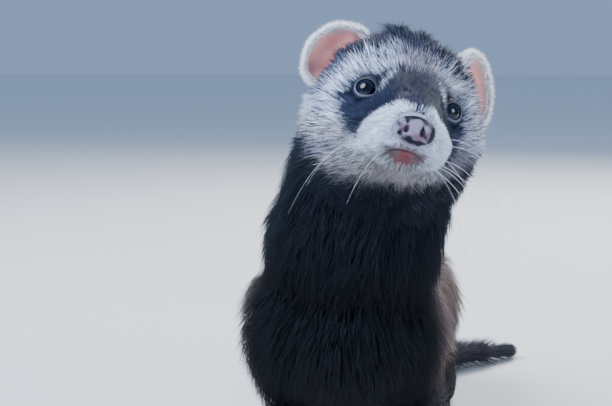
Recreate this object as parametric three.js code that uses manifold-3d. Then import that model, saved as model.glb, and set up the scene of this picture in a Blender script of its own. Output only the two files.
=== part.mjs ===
// A life-size ferret on its four feet, with the neck raised and the head turned and tilted to its left.
// Millimetres. +Z is up, the animal faces -Y and its left side is +X. The coat is counted in every size.

import * as THREE from "three";
import { mergeVertices } from "three/addons/utils/BufferGeometryUtils.js";
import Module from "manifold-3d";

const wasm = await Module();
wasm.setup();

const at = (x, y, z) => new THREE.Vector3(x, y, z);
const turn = THREE.MathUtils.degToRad;

// Pieces that touch
const GAP = 0.3;

// Height of the points that set the stance
const EYE_HEIGHT = 132;
const BACK_HEIGHT = 60;
const HIP_HEIGHT = 49;

// Lengths along the body, from the middle of the chest
const CHEST_Y = 16;
const HIP_Y = 120;
const RUMP_Y = 140;

// Half widths and half heights
const CHEST = at(31, 34, 28);
const HIPS = at(31, 32, 30);
const RUMP = at(23, 20, 22);
const BACK_RADIUS = 27;
const NECK_RADIUS = 25.5;

// The head: where the middle of the eyes lies, and how the head is turned, raised and tilted
const HEAD_AT = at(22, -8, EYE_HEIGHT);
const HEAD_TURN = turn(14);
const HEAD_RAISE = turn(-6.5);
const HEAD_TILT = turn(15.5);

// Parts of the head, in its own axes: origin between the eyes, +Y to the back of the skull
const SKULL = at(25.5, 19, 21);
const SKULL_Y = 21;
const CHEEK = at(13, 16, 16);
const MUZZLE_LENGTH = 18;
const MUZZLE_RADIUS = 8.3;
const EYE_RADIUS = 4.4;
const EYE_SPACING = 27.6;
const EYE_STANDS_OUT = 1.4;
const LID_WIDTH = 6.6;
const LID_HEIGHT = 5.6;
const LID_THICKNESS = 0.9;
const NOSE = at(5.6, 4, 4.3);
const NOSE_Y = -24.3;
const NOSE_Z = -11;
const NOSTRIL_SPACING = 5;
const NOSTRIL_RADIUS = 1.2;
const MOUTH_FRONT_Y = -22;
const MOUTH_Z = -18.4;
const MOUTH_HALF_WIDTH = 10;
const MOUTH_LENGTH = 12;
const MOUTH_DROP = 2;
const UPPER_LIP_RADIUS = 1.04;
const LOWER_LIP_RADIUS = 1.3;
const LIP_SPACING = 1.1;
const EAR_WIDTH = 23.5;
const EAR_HEIGHT = 24.5;
const EAR_DEPTH = 8;
const EAR_WALL = 2.6;

// Legs and feet
const FORE_STANCE = 18.5;
const HIND_STANCE = 24;
const WRIST_Z = 12;
const HOCK_Z = 13;
const TOES = 5;
const TOE_RADIUS = 2.5;
const TOE_LENGTH = 12;
const FOREPAW_WIDTH = 16;
const HINDPAW_WIDTH = 15;
const CLAW_LENGTH = 6;
const CLAW_RADIUS = 0.9;

// Tail, from the rump to its tip on the floor
const TAIL_ROOT_RADIUS = 15;
const TAIL_RADIUS = 11;
const TAIL_END_RADIUS = 6.8;
const TAIL_TIP_RADIUS = 2;
const TAIL_TIP_START = 0.72;

// How far neighbouring forms melt into each other
const BODY_MELT = 9;
const FACE_MELT = 4;

// Sizes of the cells that a surface is closed over: at the front of the piece, and at its back
const BODY_CELLS = [at(7, 8.5, 6.5), at(7, 8.5, 6.5)];
const LEG_CELLS = [at(5.5, 7, 6), at(5.5, 7, 6)];
const PAW_CELLS = [at(3.2, 3.4, 3.2), at(3.2, 7, 3.2)];
const HEAD_CELLS = [at(3, 2.4, 3), at(3, 4.8, 3)];
const NOSE_CELLS = [at(1.7, 1.7, 1.7), at(1.7, 1.7, 1.7)];

// Sides of the round cut that parts a leg from the torso
const REACH_ROUNDS = 16;

// Blended forms: each gives the distance from a point to a surface, negative inside

function ball(centre, radii) {
  return (p) => {
    const x = (p.x - centre.x) / radii.x;
    const y = (p.y - centre.y) / radii.y;
    const z = (p.z - centre.z) / radii.z;
    const reach = Math.hypot(x, y, z);
    const slope = Math.hypot(x / radii.x, y / radii.y, z / radii.z);
    return slope > 0 ? (reach * (reach - 1)) / slope : -Math.min(radii.x, radii.y, radii.z);
  };
}

function limb(from, fromRadius, to, toRadius) {
  const line = new THREE.Line3(from, to);
  const nearest = new THREE.Vector3();
  return (p) => {
    const share = line.closestPointToPointParameter(p, true);
    line.at(share, nearest);
    return p.distanceTo(nearest) - THREE.MathUtils.lerp(fromRadius, toRadius, share);
  };
}

function chain(points, radii) {
  return points.slice(1).map((point, i) => limb(points[i], radii[i], point, radii[i + 1]));
}

function blend(forms, melt) {
  return (p) => {
    let nearest = Infinity;
    for (const form of forms) {
      const distance = form(p);
      const overlap = Math.max(melt - Math.abs(nearest - distance), 0) / melt;
      nearest = Math.min(nearest, distance) - (overlap * overlap * melt) / 4;
    }
    return nearest;
  };
}

function slopeOf(form, p) {
  const step = 0.05;
  const here = form(p);
  return at(
    (form(at(p.x + step, p.y, p.z)) - here) / step,
    (form(at(p.x, p.y + step, p.z)) - here) / step,
    (form(at(p.x, p.y, p.z + step)) - here) / step,
  );
}

// Moves a point along the slope of a form until it lies on its surface.
function settle(form, point, tries = 4) {
  const p = point.clone();
  for (let i = 0; i < tries; i++) {
    const slope = slopeOf(form, p);
    p.addScaledVector(slope, -form(p) / Math.max(slope.lengthSq(), 0.2));
  }
  return p;
}

// Solids and their joins and cuts

function solidOf(positions, faces) {
  const made = (triVerts) =>
    new wasm.Manifold(
      new wasm.Mesh({
        numProp: 3,
        vertProperties: new Float32Array(positions.flatMap((p) => [p.x, p.y, p.z])),
        triVerts: new Uint32Array(triVerts),
      }),
    );
  const solid = made(faces.flat());
  return solid.volume() > 0 ? solid : made(faces.flatMap(([a, b, c]) => [a, c, b]));
}

function solidFrom(geometry) {
  geometry.deleteAttribute("normal");
  geometry.deleteAttribute("uv");
  const merged = mergeVertices(geometry, 1e-4);
  const place = merged.getAttribute("position");
  const positions = [];
  for (let i = 0; i < place.count; i++) {
    positions.push(new THREE.Vector3().fromBufferAttribute(place, i));
  }
  const faces = [];
  for (let i = 0; i < merged.index.count; i += 3) {
    const [a, b, c] = merged.index.array.slice(i, i + 3);
    if (a !== b && b !== c && c !== a) {
      faces.push([a, b, c]);
    }
  }
  return solidOf(positions, faces);
}

const join = (solids) => wasm.Manifold.union(solids);

function largest(solid) {
  return solid.decompose().sort((a, b) => b.volume() - a.volume())[0];
}

// Everything on the side of a plane that its direction points to, from half a gap past it.
function side(point, direction, gap = GAP) {
  const size = 500;
  const normal = direction.clone().normalize();
  const box = new THREE.BoxGeometry(size, size, size);
  box.translate(0, 0, size / 2 + gap / 2);
  box.applyQuaternion(new THREE.Quaternion().setFromUnitVectors(at(0, 0, 1), normal));
  box.translate(point.x, point.y, point.z);
  return solidFrom(box);
}

const beyond = (plane) => side(plane.point, plane.direction);
const before = (plane) => side(plane.point, plane.direction.clone().negate());

function egg(centre, radii, rounds) {
  const sphere = new THREE.SphereGeometry(1, rounds, Math.round(rounds / 2) + 2);
  sphere.scale(radii.x, radii.y, radii.z);
  sphere.translate(centre.x, centre.y, centre.z);
  return solidFrom(sphere);
}

// A closed surface over a form inside a box of cells: one point in each cell that the surface
// crosses, settled onto it, and one pair of triangles round each grid edge that passes through it.
function surface(form, low, high, [front, back]) {
  const span = high.clone().sub(low);
  const cells = span.clone().divide(front.clone().lerp(back, 0.5)).ceil();
  const nodes = cells.clone().addScalar(1);
  const index = (i, j, k) => (k * nodes.y + j) * nodes.x + i;
  const along = (axis, n) => {
    const share = n / cells[axis];
    const growth = (back[axis] - front[axis]) / (back[axis] + front[axis]);
    return low[axis] + span[axis] * share * (1 - growth * (1 - share));
  };
  const corner = (i, j, k) => at(along("x", i), along("y", j), along("z", k));
  const depth = new Float64Array(nodes.x * nodes.y * nodes.z);
  for (let k = 0; k < nodes.z; k++)
    for (let j = 0; j < nodes.y; j++)
      for (let i = 0; i < nodes.x; i++) {
        const edge = !i || !j || !k || i === cells.x || j === cells.y || k === cells.z;
        const distance = form(corner(i, j, k));
        depth[index(i, j, k)] = edge ? Math.max(distance, 0.1) : distance;
      }
  const steps = [
    [1, 0, 0],
    [0, 1, 0],
    [0, 0, 1],
  ];
  const positions = [];
  const pointOf = new Map();
  for (let k = 0; k < cells.z; k++)
    for (let j = 0; j < cells.y; j++)
      for (let i = 0; i < cells.x; i++) {
        const sum = new THREE.Vector3();
        let crossings = 0;
        for (let axis = 0; axis < 3; axis++)
          for (let pair = 0; pair < 4; pair++) {
            const [dx, dy, dz] = steps[axis];
            const [u, w] = [pair & 1, pair >> 1];
            const [a, b, c] = axis === 0 ? [0, u, w] : axis === 1 ? [u, 0, w] : [u, w, 0];
            const start = depth[index(i + a, j + b, k + c)];
            const end = depth[index(i + a + dx, j + b + dy, k + c + dz)];
            if (start < 0 === end < 0) continue;
            const from = corner(i + a, j + b, k + c);
            sum.add(from.lerp(corner(i + a + dx, j + b + dy, k + c + dz), start / (start - end)));
            crossings++;
          }
        if (!crossings) continue;
        const point = sum.divideScalar(crossings);
        pointOf.set(index(i, j, k), positions.length);
        positions.push(Math.abs(form(point)) < front.x / 2 ? settle(form, point) : point);
      }
  const faces = [];
  for (let axis = 0; axis < 3; axis++) {
    const [dx, dy, dz] = steps[axis];
    const [ux, uy, uz] = steps[(axis + 1) % 3];
    const [wx, wy, wz] = steps[(axis + 2) % 3];
    for (let k = uz + wz; k < cells.z; k++)
      for (let j = uy + wy; j < cells.y; j++)
        for (let i = ux + wx; i < cells.x; i++) {
          const inside = depth[index(i, j, k)] < 0;
          if (inside === depth[index(i + dx, j + dy, k + dz)] < 0) continue;
          const round = [
            pointOf.get(index(i, j, k)),
            pointOf.get(index(i - ux, j - uy, k - uz)),
            pointOf.get(index(i - ux - wx, j - uy - wy, k - uz - wz)),
            pointOf.get(index(i - wx, j - wy, k - wz)),
          ];
          if (!inside) round.reverse();
          const [a, b, c, d] = round;
          const short = positions[a].distanceTo(positions[c]) < positions[b].distanceTo(positions[d]);
          faces.push(...(short ? [[a, b, c], [a, c, d]] : [[a, b, d], [b, c, d]]));
        }
  }
  return solidOf(positions, faces);
}

// A tube through points with a radius at each. An open one ends in a flat face.
function tube(points, radii, sides, reference, closed = false) {
  const count = points.length;
  const positions = [];
  points.forEach((point, i) => {
    const last = points[closed ? (i + count - 1) % count : Math.max(i - 1, 0)];
    const next = points[closed ? (i + 1) % count : Math.min(i + 1, count - 1)];
    const along = next.clone().sub(last).normalize();
    const across = along.clone().cross(reference).normalize();
    const up = across.clone().cross(along);
    for (let k = 0; k < sides; k++) {
      const angle = (2 * Math.PI * k) / sides;
      const rim = point.clone().addScaledVector(across, radii[i] * Math.cos(angle));
      positions.push(rim.addScaledVector(up, radii[i] * Math.sin(angle)));
    }
  });
  const faces = [];
  for (let i = 0; i < (closed ? count : count - 1); i++)
    for (let k = 0; k < sides; k++) {
      const [a, b] = [i * sides + k, i * sides + ((k + 1) % sides)];
      const [c, d] = [a, b].map((n) => (n + sides) % (count * sides));
      faces.push([a, b, c], [b, d, c]);
    }
  if (!closed) {
    for (let k = 1; k < sides - 1; k++) {
      faces.push([0, k + 1, k]);
      const end = (count - 1) * sides;
      faces.push([end, end + k, end + k + 1]);
    }
  }
  return solidOf(positions, faces);
}

// The head in its own axes

const head = new THREE.Matrix4().compose(
  HEAD_AT,
  new THREE.Quaternion().setFromEuler(new THREE.Euler(HEAD_RAISE, HEAD_TILT, HEAD_TURN, "ZXY")),
  at(1, 1, 1),
);
const headInverse = head.clone().invert();
const inHead = (x, y, z) => at(x, y, z).applyMatrix4(head);
const placeHead = (solid) => solid.transform(head.elements);
const twice = (make) => [make(-1), make(1)];

const muzzleTip = at(0, -MUZZLE_LENGTH, -11);
const faceForms = [
  // Skull, and the wedge in which it narrows forwards
  ball(at(0, SKULL_Y, 2), SKULL),
  limb(at(0, -2, -3.5), 11.6, at(0, 18, 1), 19),
  // Cheeks, and the jaws that run forwards from them
  ...twice((s) => ball(at(s * 16, 20, -8), CHEEK)),
  ...twice((s) => limb(at(s * 14, 14, -11), 11, at(s * 5.5, -12, -14.5), 7)),
  // Muzzle, whisker pads and chin
  limb(at(0, 0, -6), 12, muzzleTip, MUZZLE_RADIUS),
  ...twice((s) => ball(at(s * 6, -14.5, -13.2), at(7.2, 8.5, 6.2))),
  limb(at(0, -14, -20), 5, at(0, 6, -19), 8),
  // Bridge of the nose, and throat
  limb(at(0, -18, -7.5), 6.3, at(0, 4, 1), 9),
  ball(at(0, 16, -15), at(21, 18, 12)),
];
const face = blend(faceForms, FACE_MELT);
const headForm = (p) => face(p.clone().applyMatrix4(headInverse));

// Body, neck, legs and tail in one blended form

const neckPoints = [at(0, 16, 60), at(4, 8, 88), at(9, 8, 106), inHead(0, 20, -8)];
const backPoints = [at(0, 22, 56), at(0, 60, BACK_HEIGHT), at(-1, HIP_Y - 22, BACK_HEIGHT)];
const tailPoints = [
  at(0, RUMP_Y - 4, 42),
  at(4, RUMP_Y + 15, 23),
  at(12, RUMP_Y + 28, 10.5),
  at(24, RUMP_Y + 42, 8),
  at(39, RUMP_Y + 58, 6.5),
  at(54, RUMP_Y + 76, 3.6),
];

function foreleg(s) {
  const shoulder = at(s * 17, CHEST_Y + 2, 50);
  const elbow = at(s * 20, CHEST_Y + 9, 34);
  const wrist = at(s * FORE_STANCE, CHEST_Y - 6, WRIST_Z);
  const palm = at(s * FORE_STANCE, CHEST_Y - 16, 6);
  return {
    bones: [
      ball(shoulder, at(14, 18, 22)),
      ...chain([shoulder, elbow, wrist], [12, 10.5, 7.4]),
      limb(wrist, 7.4, palm, 6.4),
    ],
    reach: { centre: at(s * 22.5, CHEST_Y + 2, 32), radii: at(16, 27, 36) },
    ankle: [limb(elbow, 10.5, wrist, 7.4), limb(wrist, 7.4, palm, 6), ball(palm, at(7.4, 8, 6))],
    palm,
    width: FOREPAW_WIDTH,
  };
}

function hindleg(s) {
  const hip = at(s * 17.5, HIP_Y, 42);
  const knee = at(s * 22.5, HIP_Y - 22, 27);
  const hock = at(s * 22.5, HIP_Y + 12, 14);
  const heel = at(s * HIND_STANCE, HIP_Y + 15, 5);
  const palm = at(s * (HIND_STANCE + 1.5), HIP_Y - 23, 4.6);
  return {
    bones: [
      ball(hip, at(14.5, 27, 25)),
      limb(hip, 15, knee, 11.5),
      limb(knee, 10.5, hock, 8),
      limb(hock, 8, heel, 5.6),
      limb(heel, 5.6, palm, 5.4),
    ],
    reach: { centre: at(s * 23.5, HIP_Y - 3, 36), radii: at(18, 40, 40) },
    ankle: [limb(hock, 8, heel, 5.6), limb(heel, 5.6, palm, 5.4), ball(palm, at(7, 9, 5.6))],
    palm,
    width: HINDPAW_WIDTH,
  };
}

const sides = [
  ["right", -1],
  ["left", 1],
];
const legs = sides.flatMap(([name, s]) => [
  { name: "foreleg_" + name, paw: "forepaw_" + name, top: WRIST_Z, s, ...foreleg(s) },
  { name: "hindleg_" + name, paw: "hindpaw_" + name, top: HOCK_Z, s, ...hindleg(s) },
]);

const body = blend(
  [
    ball(at(0, CHEST_Y, 55), CHEST),
    ...chain(neckPoints, [29, 27, NECK_RADIUS, 22]),
    ...chain(backPoints, [BACK_RADIUS, BACK_RADIUS, BACK_RADIUS]),
    ball(at(0, 42, 64), at(24, 28, 23)),
    ball(at(-1, HIP_Y, HIP_HEIGHT), HIPS),
    ball(at(0, RUMP_Y, 40), RUMP),
    ...legs.flatMap((leg) => leg.bones),
    limb(tailPoints[0], TAIL_ROOT_RADIUS, tailPoints[1], TAIL_RADIUS),
    headForm,
  ],
  BODY_MELT,
);

// The blended form seen from the head's own axes
const skin = (p) => body(p.clone().applyMatrix4(head));

// Where the body is parted
const skullBase = { point: inHead(0, 0, -28), direction: at(0, -0.5, 0.87).transformDirection(head) };
const neckBase = { point: at(2, 14, 82), direction: at(0.1, -0.42, 0.9) };
const tailBase = { point: at(3, RUMP_Y + 15, 27), direction: at(0.1, 0.75, -0.65) };
const floor = { point: at(0, 0, -GAP / 2), direction: at(0, 0, 1) };

// Torso, neck and tail

function torso() {
  const whole = surface(body, at(-50, -35, 10), at(50, 185, 110), BODY_CELLS);
  const grown = legs.map(({ reach }) => {
    const radii = reach.radii.clone().addScalar(GAP);
    return egg(reach.centre, radii, REACH_ROUNDS);
  });
  const trunk = whole.intersect(before(neckBase)).intersect(before(tailBase));
  return largest(trunk.subtract(join(grown)));
}

function neck() {
  const whole = surface(body, at(-35, -45, 55), at(55, 65, 150), BODY_CELLS);
  return largest(whole.intersect(beyond(neckBase)).intersect(before(skullBase)));
}

function tail() {
  const rings = 15;
  const points = new THREE.CatmullRomCurve3(tailPoints).getPoints(rings);
  const radii = points.map((p, i) => {
    const share = i / rings;
    const narrowed = Math.min(share * 1.4, 1);
    const taper = THREE.MathUtils.lerp(TAIL_ROOT_RADIUS, TAIL_END_RADIUS, narrowed);
    const past = Math.max(share - TAIL_TIP_START, 0) / (1 - TAIL_TIP_START);
    return Math.max(taper * Math.sqrt(1 - past * past), TAIL_TIP_RADIUS);
  });
  const whole = tube(points, radii, 12, at(0, 0, 1));
  return largest(whole.intersect(beyond(tailBase)).intersect(beyond(floor)));
}

// Legs and paws

function leg({ reach, top, palm }) {
  const low = at(reach.centre.x - 22, reach.centre.y - 46, 2);
  const high = at(reach.centre.x + 22, reach.centre.y + 46, 82);
  const whole = surface(body, low, high, LEG_CELLS);
  const wristPlane = { point: at(palm.x, palm.y, top), direction: at(0, 0, 1) };
  const within = egg(reach.centre, reach.radii, REACH_ROUNDS);
  return largest(whole.intersect(within).intersect(beyond(wristPlane)).intersect(before(tailBase)));
}

// The toes fan out from the front of the palm, the middle ones reaching furthest.
function toesOf({ palm, width }) {
  const toes = [];
  for (let i = 0; i < TOES; i++) {
    const share = i / (TOES - 1) - 0.5;
    const root = at(palm.x + share * width * 0.6, palm.y + 1 + Math.abs(share) * 5, 4.2);
    const reach = TOE_LENGTH * (1 - 1.1 * share * share);
    const knuckle = at(palm.x + share * width * 0.95, root.y - reach * 0.6, 4.4);
    const tip = at(palm.x + share * width * 1.15, root.y - reach, 2.3);
    toes.push({ root, knuckle, tip });
  }
  return toes;
}

function toe({ root, knuckle, tip }) {
  const curve = new THREE.QuadraticBezierCurve3(root, knuckle, tip);
  const radii = [0.8, 1, 1, 1, 0.65].map((share) => share * TOE_RADIUS);
  return tube(curve.getPoints(radii.length - 1), radii, 6, at(0, 0, 1));
}

function claw({ knuckle, tip }) {
  const ahead = tip.clone().sub(knuckle).setZ(0).normalize();
  const points = [0, 0.6, 1].map((share) => {
    const p = tip.clone().addScaledVector(ahead, share * CLAW_LENGTH - 1.2);
    return p.setZ(tip.z + 0.9 - 2.2 * share * share);
  });
  const radii = [1, 0.75, 0.15].map((share) => share * CLAW_RADIUS);
  return tube(points, radii, 5, at(0, 0, 1));
}

function paw(leg) {
  const toes = toesOf(leg);
  const form = blend(leg.ankle, BODY_MELT);
  const low = at(leg.palm.x - 15, leg.palm.y - 18, -3);
  const high = at(leg.palm.x + 15, leg.palm.y + 52, leg.top + 6);
  const cut = { point: at(0, 0, leg.top), direction: at(0, 0, -1) };
  const foot = join([surface(form, low, high, PAW_CELLS), ...toes.map(toe), ...toes.map(claw)]);
  return largest(foot.intersect(beyond(cut)).intersect(beyond(floor)));
}

// Head

const lidPoint = (s) => settle(skin, at((s * EYE_SPACING) / 2, 0, 0));

// An eye looks half way between straight out of the face and straight ahead.
const eyeAim = (s) => slopeOf(skin, lidPoint(s)).normalize().add(at(0, -1, 0)).normalize();

const eyeCentre = (s) => lidPoint(s).addScaledVector(eyeAim(s), EYE_STANDS_OUT - EYE_RADIUS);

function eyeball(s, grow) {
  return egg(eyeCentre(s), at(1, 1, 1).multiplyScalar(EYE_RADIUS + grow), 14);
}

// The lids are a thin shell over the eyeball, and open in an oval.
const lids = (s) => eyeball(s, GAP + LID_THICKNESS);

function lidOpening(s) {
  const depth = 2 * EYE_RADIUS;
  const opening = new THREE.CylinderGeometry(1.1, 0.9, depth, 18);
  opening.scale(LID_WIDTH / 2, 1, LID_HEIGHT / 2);
  opening.translate(0, depth / 2, 0);
  const aim = eyeAim(s);
  const across = at(0, 0, 1).cross(aim).normalize();
  const basis = new THREE.Matrix4().makeBasis(across, aim, across.clone().cross(aim));
  opening.applyMatrix4(basis.setPosition(eyeCentre(s)));
  return solidFrom(opening);
}

// The line of the mouth runs back from under the nose to both corners, where it sinks into the face.
function mouthPoints(drop, sink) {
  const points = [];
  const steps = 12;
  for (let i = 0; i <= steps; i++) {
    const share = (2 * i) / steps - 1;
    const back = MOUTH_LENGTH * share * share;
    const low = MOUTH_Z - drop - MOUTH_DROP * Math.abs(share) ** 1.5;
    const point = settle(skin, at(share * MOUTH_HALF_WIDTH, MOUTH_FRONT_Y + back, low));
    points.push(point.addScaledVector(slopeOf(skin, point), -sink * share ** 4));
  }
  return points;
}

function lip(drop, radius) {
  const points = mouthPoints(drop, radius);
  const radii = points.map((p, i) => {
    const fullness = Math.sin((Math.PI * i) / (points.length - 1));
    return radius * (0.5 + 0.5 * fullness);
  });
  return tube(points, radii, 6, at(0, 0, 1));
}

function noseForm(grow = 0) {
  const centre = at(0, NOSE_Y, NOSE_Z);
  const pad = blend(
    [
      ball(centre, NOSE),
      ...twice((s) => ball(at(s * 3.3, NOSE_Y - 0.6, NOSE_Z - 0.3), at(2.9, 3.4, 3.2))),
      ball(at(0, NOSE_Y - 0.4, NOSE_Z - 3.4), at(2.2, 3, 2.6)),
    ],
    1.2,
  );
  return (p) => pad(p) - grow;
}

function nosePad(grow) {
  const reach = at(9, 8, 9);
  const centre = at(0, NOSE_Y, NOSE_Z);
  return surface(noseForm(grow), centre.clone().sub(reach), centre.clone().add(reach), NOSE_CELLS);
}

// Each nostril is a comma: a round hole and a slit that curls out from it.
function nostril(s) {
  const front = settle(noseForm(), at((s * NOSTRIL_SPACING) / 2, NOSE_Y - 4, NOSE_Z - 0.6));
  const slit = [0, 0.5, 1].map((share) =>
    settle(noseForm(), front.clone().add(at(s * 2.6 * share, 1.4 * share, -0.5 * share - share * share))),
  );
  const radii = [NOSTRIL_RADIUS, NOSTRIL_RADIUS * 0.75, NOSTRIL_RADIUS * 0.45];
  const hole = egg(front, at(NOSTRIL_RADIUS * 1.1, 1.9, NOSTRIL_RADIUS * 1.2), 10);
  return join([hole, tube(slit, radii, 6, at(0, 1, 0))]);
}

function nose() {
  return placeHead(largest(nosePad(0).subtract(join(twice(nostril)))));
}

// An ear is a deep dish with a thick round rim. It faces out and forwards, and its foot sinks
// into the skull.
function ear(s) {
  const radius = EAR_WIDTH / 2;
  const arc = 5;
  const profile = [];
  for (let i = 0; i <= arc; i++) {
    const angle = (Math.PI / 2) * (i / arc);
    profile.push(new THREE.Vector2(radius * Math.sin(angle), -EAR_DEPTH * Math.cos(angle)));
  }
  profile.push(new THREE.Vector2(radius - 0.2, 1.3));
  profile.push(new THREE.Vector2(radius - EAR_WALL * 0.5, 1.8));
  profile.push(new THREE.Vector2(radius - EAR_WALL + 0.2, 1.1));
  for (let i = arc; i >= 0; i--) {
    const angle = (Math.PI / 2) * (i / arc);
    const across = (radius - EAR_WALL) * Math.sin(angle);
    profile.push(new THREE.Vector2(across, -(EAR_DEPTH - EAR_WALL) * Math.cos(angle)));
  }
  const dish = new THREE.LatheGeometry(profile, 18);
  dish.rotateX(Math.PI / 2);
  dish.scale(1, EAR_HEIGHT / EAR_WIDTH, 1);
  const placed = earPlaces[s];
  const aim = placed.aim.clone().normalize();
  const across = at(0, 0, 1).cross(aim).normalize();
  const basis = new THREE.Matrix4().makeBasis(across, aim.clone().cross(across), aim);
  dish.applyMatrix4(basis.setPosition(placed.centre));
  return solidFrom(dish);
}

const earPlaces = {
  [-1]: { centre: at(-23, 24, 10.2), aim: at(-0.5, -0.8, 0.3) },
  [1]: { centre: at(23.5, 24, 12), aim: at(0.78, -0.55, 0.25) },
};

const headReach = { low: at(-32, -32, -36), high: at(32, 48, 26) };

function headSolid(grow) {
  return surface((p) => skin(p) - grow, headReach.low, headReach.high, HEAD_CELLS);
}

function headNode() {
  const parted = side(at(0, 0, -28), at(0, -0.5, 0.87));
  const skull = largest(headSolid(0).intersect(parted));
  const lips = [lip(-LIP_SPACING, UPPER_LIP_RADIUS), lip(LIP_SPACING, LOWER_LIP_RADIUS)];
  const dressed = join([skull, ...twice(lids), ...lips]);
  const eyeSockets = twice((s) => join([eyeball(s, GAP), lidOpening(s)]));
  const groove = mouthPoints(0, 0);
  const grooveRadii = groove.map(() => 0.8);
  const cuts = [...eyeSockets, nosePad(GAP), tube(groove, grooveRadii, 4, at(0, 0, 1))];
  return placeHead(largest(dressed.subtract(join(cuts))));
}

function earNode(s) {
  return placeHead(largest(ear(s).subtract(headSolid(GAP))));
}

// Colours of the coat, the bare skin and the eyes
const coats = {
  sable: { color: 0x1d1f26, roughness: 0.85 },
  flank: { color: 0x6b625f, roughness: 0.85 },
  mask: { color: 0xb9bcc2, roughness: 0.85 },
  ear: { color: 0xd99a94, roughness: 0.75 },
  nose: { color: 0x9a8590, roughness: 0.45 },
  eye: { color: 0x0b0d12, roughness: 0.05 },
};

const pieces = [
  ["torso", "flank", torso()],
  ["neck", "sable", neck()],
  ["head", "mask", headNode()],
  ["nose", "nose", nose()],
  ...sides.map(([name, s]) => ["ear_" + name, "ear", earNode(s)]),
  ...sides.map(([name, s]) => ["eye_" + name, "eye", placeHead(eyeball(s, 0))]),
  ...legs.map((l) => [l.name, "sable", leg(l)]),
  ...legs.map((l) => [l.paw, "sable", paw(l)]),
  ["tail", "sable", tail()],
];

const ferret = new THREE.Group();
for (const [name, coat, solid] of pieces) {
  const { vertProperties, triVerts } = solid.getMesh();
  const geometry = new THREE.BufferGeometry();
  geometry.setAttribute("position", new THREE.BufferAttribute(vertProperties, 3));
  geometry.setIndex(new THREE.BufferAttribute(triVerts, 1));
  geometry.computeVertexNormals();
  const material = new THREE.MeshStandardMaterial({ ...coats[coat], metalness: 0 });
  const mesh = new THREE.Mesh(geometry, material);
  mesh.name = name;
  ferret.add(mesh);
}

// The origin is the middle of the whole animal on the floor.
const extent = new THREE.Box3().setFromObject(ferret);
const middle = extent.getCenter(new THREE.Vector3());
ferret.position.set(-middle.x, -middle.y, 0);

export default ferret;
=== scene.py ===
"""A life-size ferret: skin, coat, eyes, nose, lips, ears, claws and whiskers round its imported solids."""
import bmesh
import bpy
import math
import numpy as np
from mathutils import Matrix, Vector


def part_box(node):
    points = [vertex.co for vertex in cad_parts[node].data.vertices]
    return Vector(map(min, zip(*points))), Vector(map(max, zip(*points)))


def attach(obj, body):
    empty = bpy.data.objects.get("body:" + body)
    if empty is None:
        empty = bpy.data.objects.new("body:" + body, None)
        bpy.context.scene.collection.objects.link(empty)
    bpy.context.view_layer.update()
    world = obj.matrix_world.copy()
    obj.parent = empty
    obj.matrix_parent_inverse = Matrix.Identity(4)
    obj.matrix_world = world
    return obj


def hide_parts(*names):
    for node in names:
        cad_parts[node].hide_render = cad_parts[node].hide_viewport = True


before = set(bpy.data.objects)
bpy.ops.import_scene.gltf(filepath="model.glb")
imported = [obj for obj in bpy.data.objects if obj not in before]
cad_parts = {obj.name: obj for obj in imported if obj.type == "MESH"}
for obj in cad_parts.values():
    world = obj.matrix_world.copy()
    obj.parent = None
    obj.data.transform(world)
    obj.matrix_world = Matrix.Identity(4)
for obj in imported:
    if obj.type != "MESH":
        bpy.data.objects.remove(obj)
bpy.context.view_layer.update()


# Small sums on points and colours


def at(x, y, z):
    return np.array([x, y, z], float)


def linear(colour):
    """Linear red, green and blue of an sRGB hex value."""
    shares = [int(colour[i:i + 2], 16) / 255 for i in (1, 3, 5)]
    return np.array([c / 12.92 if c <= 0.04045 else ((c + 0.055) / 1.055) ** 2.4 for c in shares])


def unit(v):
    return v / np.maximum(np.linalg.norm(v, axis=-1, keepdims=True), 1e-9)


def ramp(value, start, end):
    """0 up to start, 1 past end, and a smooth step between. It also falls, where end is below start."""
    share = np.clip((value - start) / (end - start), 0, 1)
    return share * share * (3 - 2 * share)


def length_of(v):
    return np.linalg.norm(v, axis=1)


def mix(a, b, share):
    return a + (b - a) * np.asarray(share)[..., None]


def wander(p, size, seed):
    """Smooth noise in about -1 to 1 that changes over size millimetres."""
    rng = np.random.default_rng(seed)
    total = np.zeros(len(p))
    for _ in range(6):
        wave = rng.normal(size=3) * 2 / size
        total += np.sin(p @ wave + rng.uniform(0, 2 * math.pi))
    return total / 3


# Sizes and places are in millimetres, and meshes are made in metres.
MM = 0.001

# Where the middle of the chest stands on the floor, in the frame
CHEST_SPOT = at(-9.698, -89.720, 0)

# The head: where the middle of the eyes lies from the chest, and how it is raised, tilted and turned
EYES_AT = at(22, -8, 132)
HEAD_RAISE, HEAD_TILT, HEAD_TURN = -6.5, 15.5, 14

# Features of the head, in its own axes: origin between the eyes, +Y to the back of the skull
EYE_RADIUS = 4.4
EYE_OPENING = (math.radians(43), math.radians(35))
EYE_AHEAD = 0.95
SOCKET_GAP = 0.35
LID_END = math.radians(88)
LID_THICKNESS = 0.7
NOSE_TIP = at(0, -26.3, -11.3)
NOSE_AT = at(0.4, -24.3, -11.1)
NOSTRILS_AT = (-2.9, 1.9)
MOUTH_FRONT = at(0, -22, -18.4)
MOUTH_HALF_WIDTH = 10
MOUTH_LENGTH = 12
MOUTH_DROP = 2
LIP_LEVEL, LIP_HALF_WIDTH, LIP_HALF_HEIGHT = -19.5, 7.0, 2.3
EAR_RADIUS = 11.75
EAR_HEIGHT_SHARE = 1.04
EAR_DEPTH = 8
EAR_THICKNESS = 1.3
EAR_RIGHT = {"side": -1, "centre": at(-23, 24, 10.2), "aim": at(-0.5, -0.8, 0.3)}
EAR_LEFT = {"side": 1, "centre": at(23.5, 24, 12), "aim": at(0.78, -0.55, 0.25)}
WHISKER_ROWS, WHISKERS_IN_ROW = 4, 3
WHISKER_RADII = (0.055, 0.012)

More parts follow.
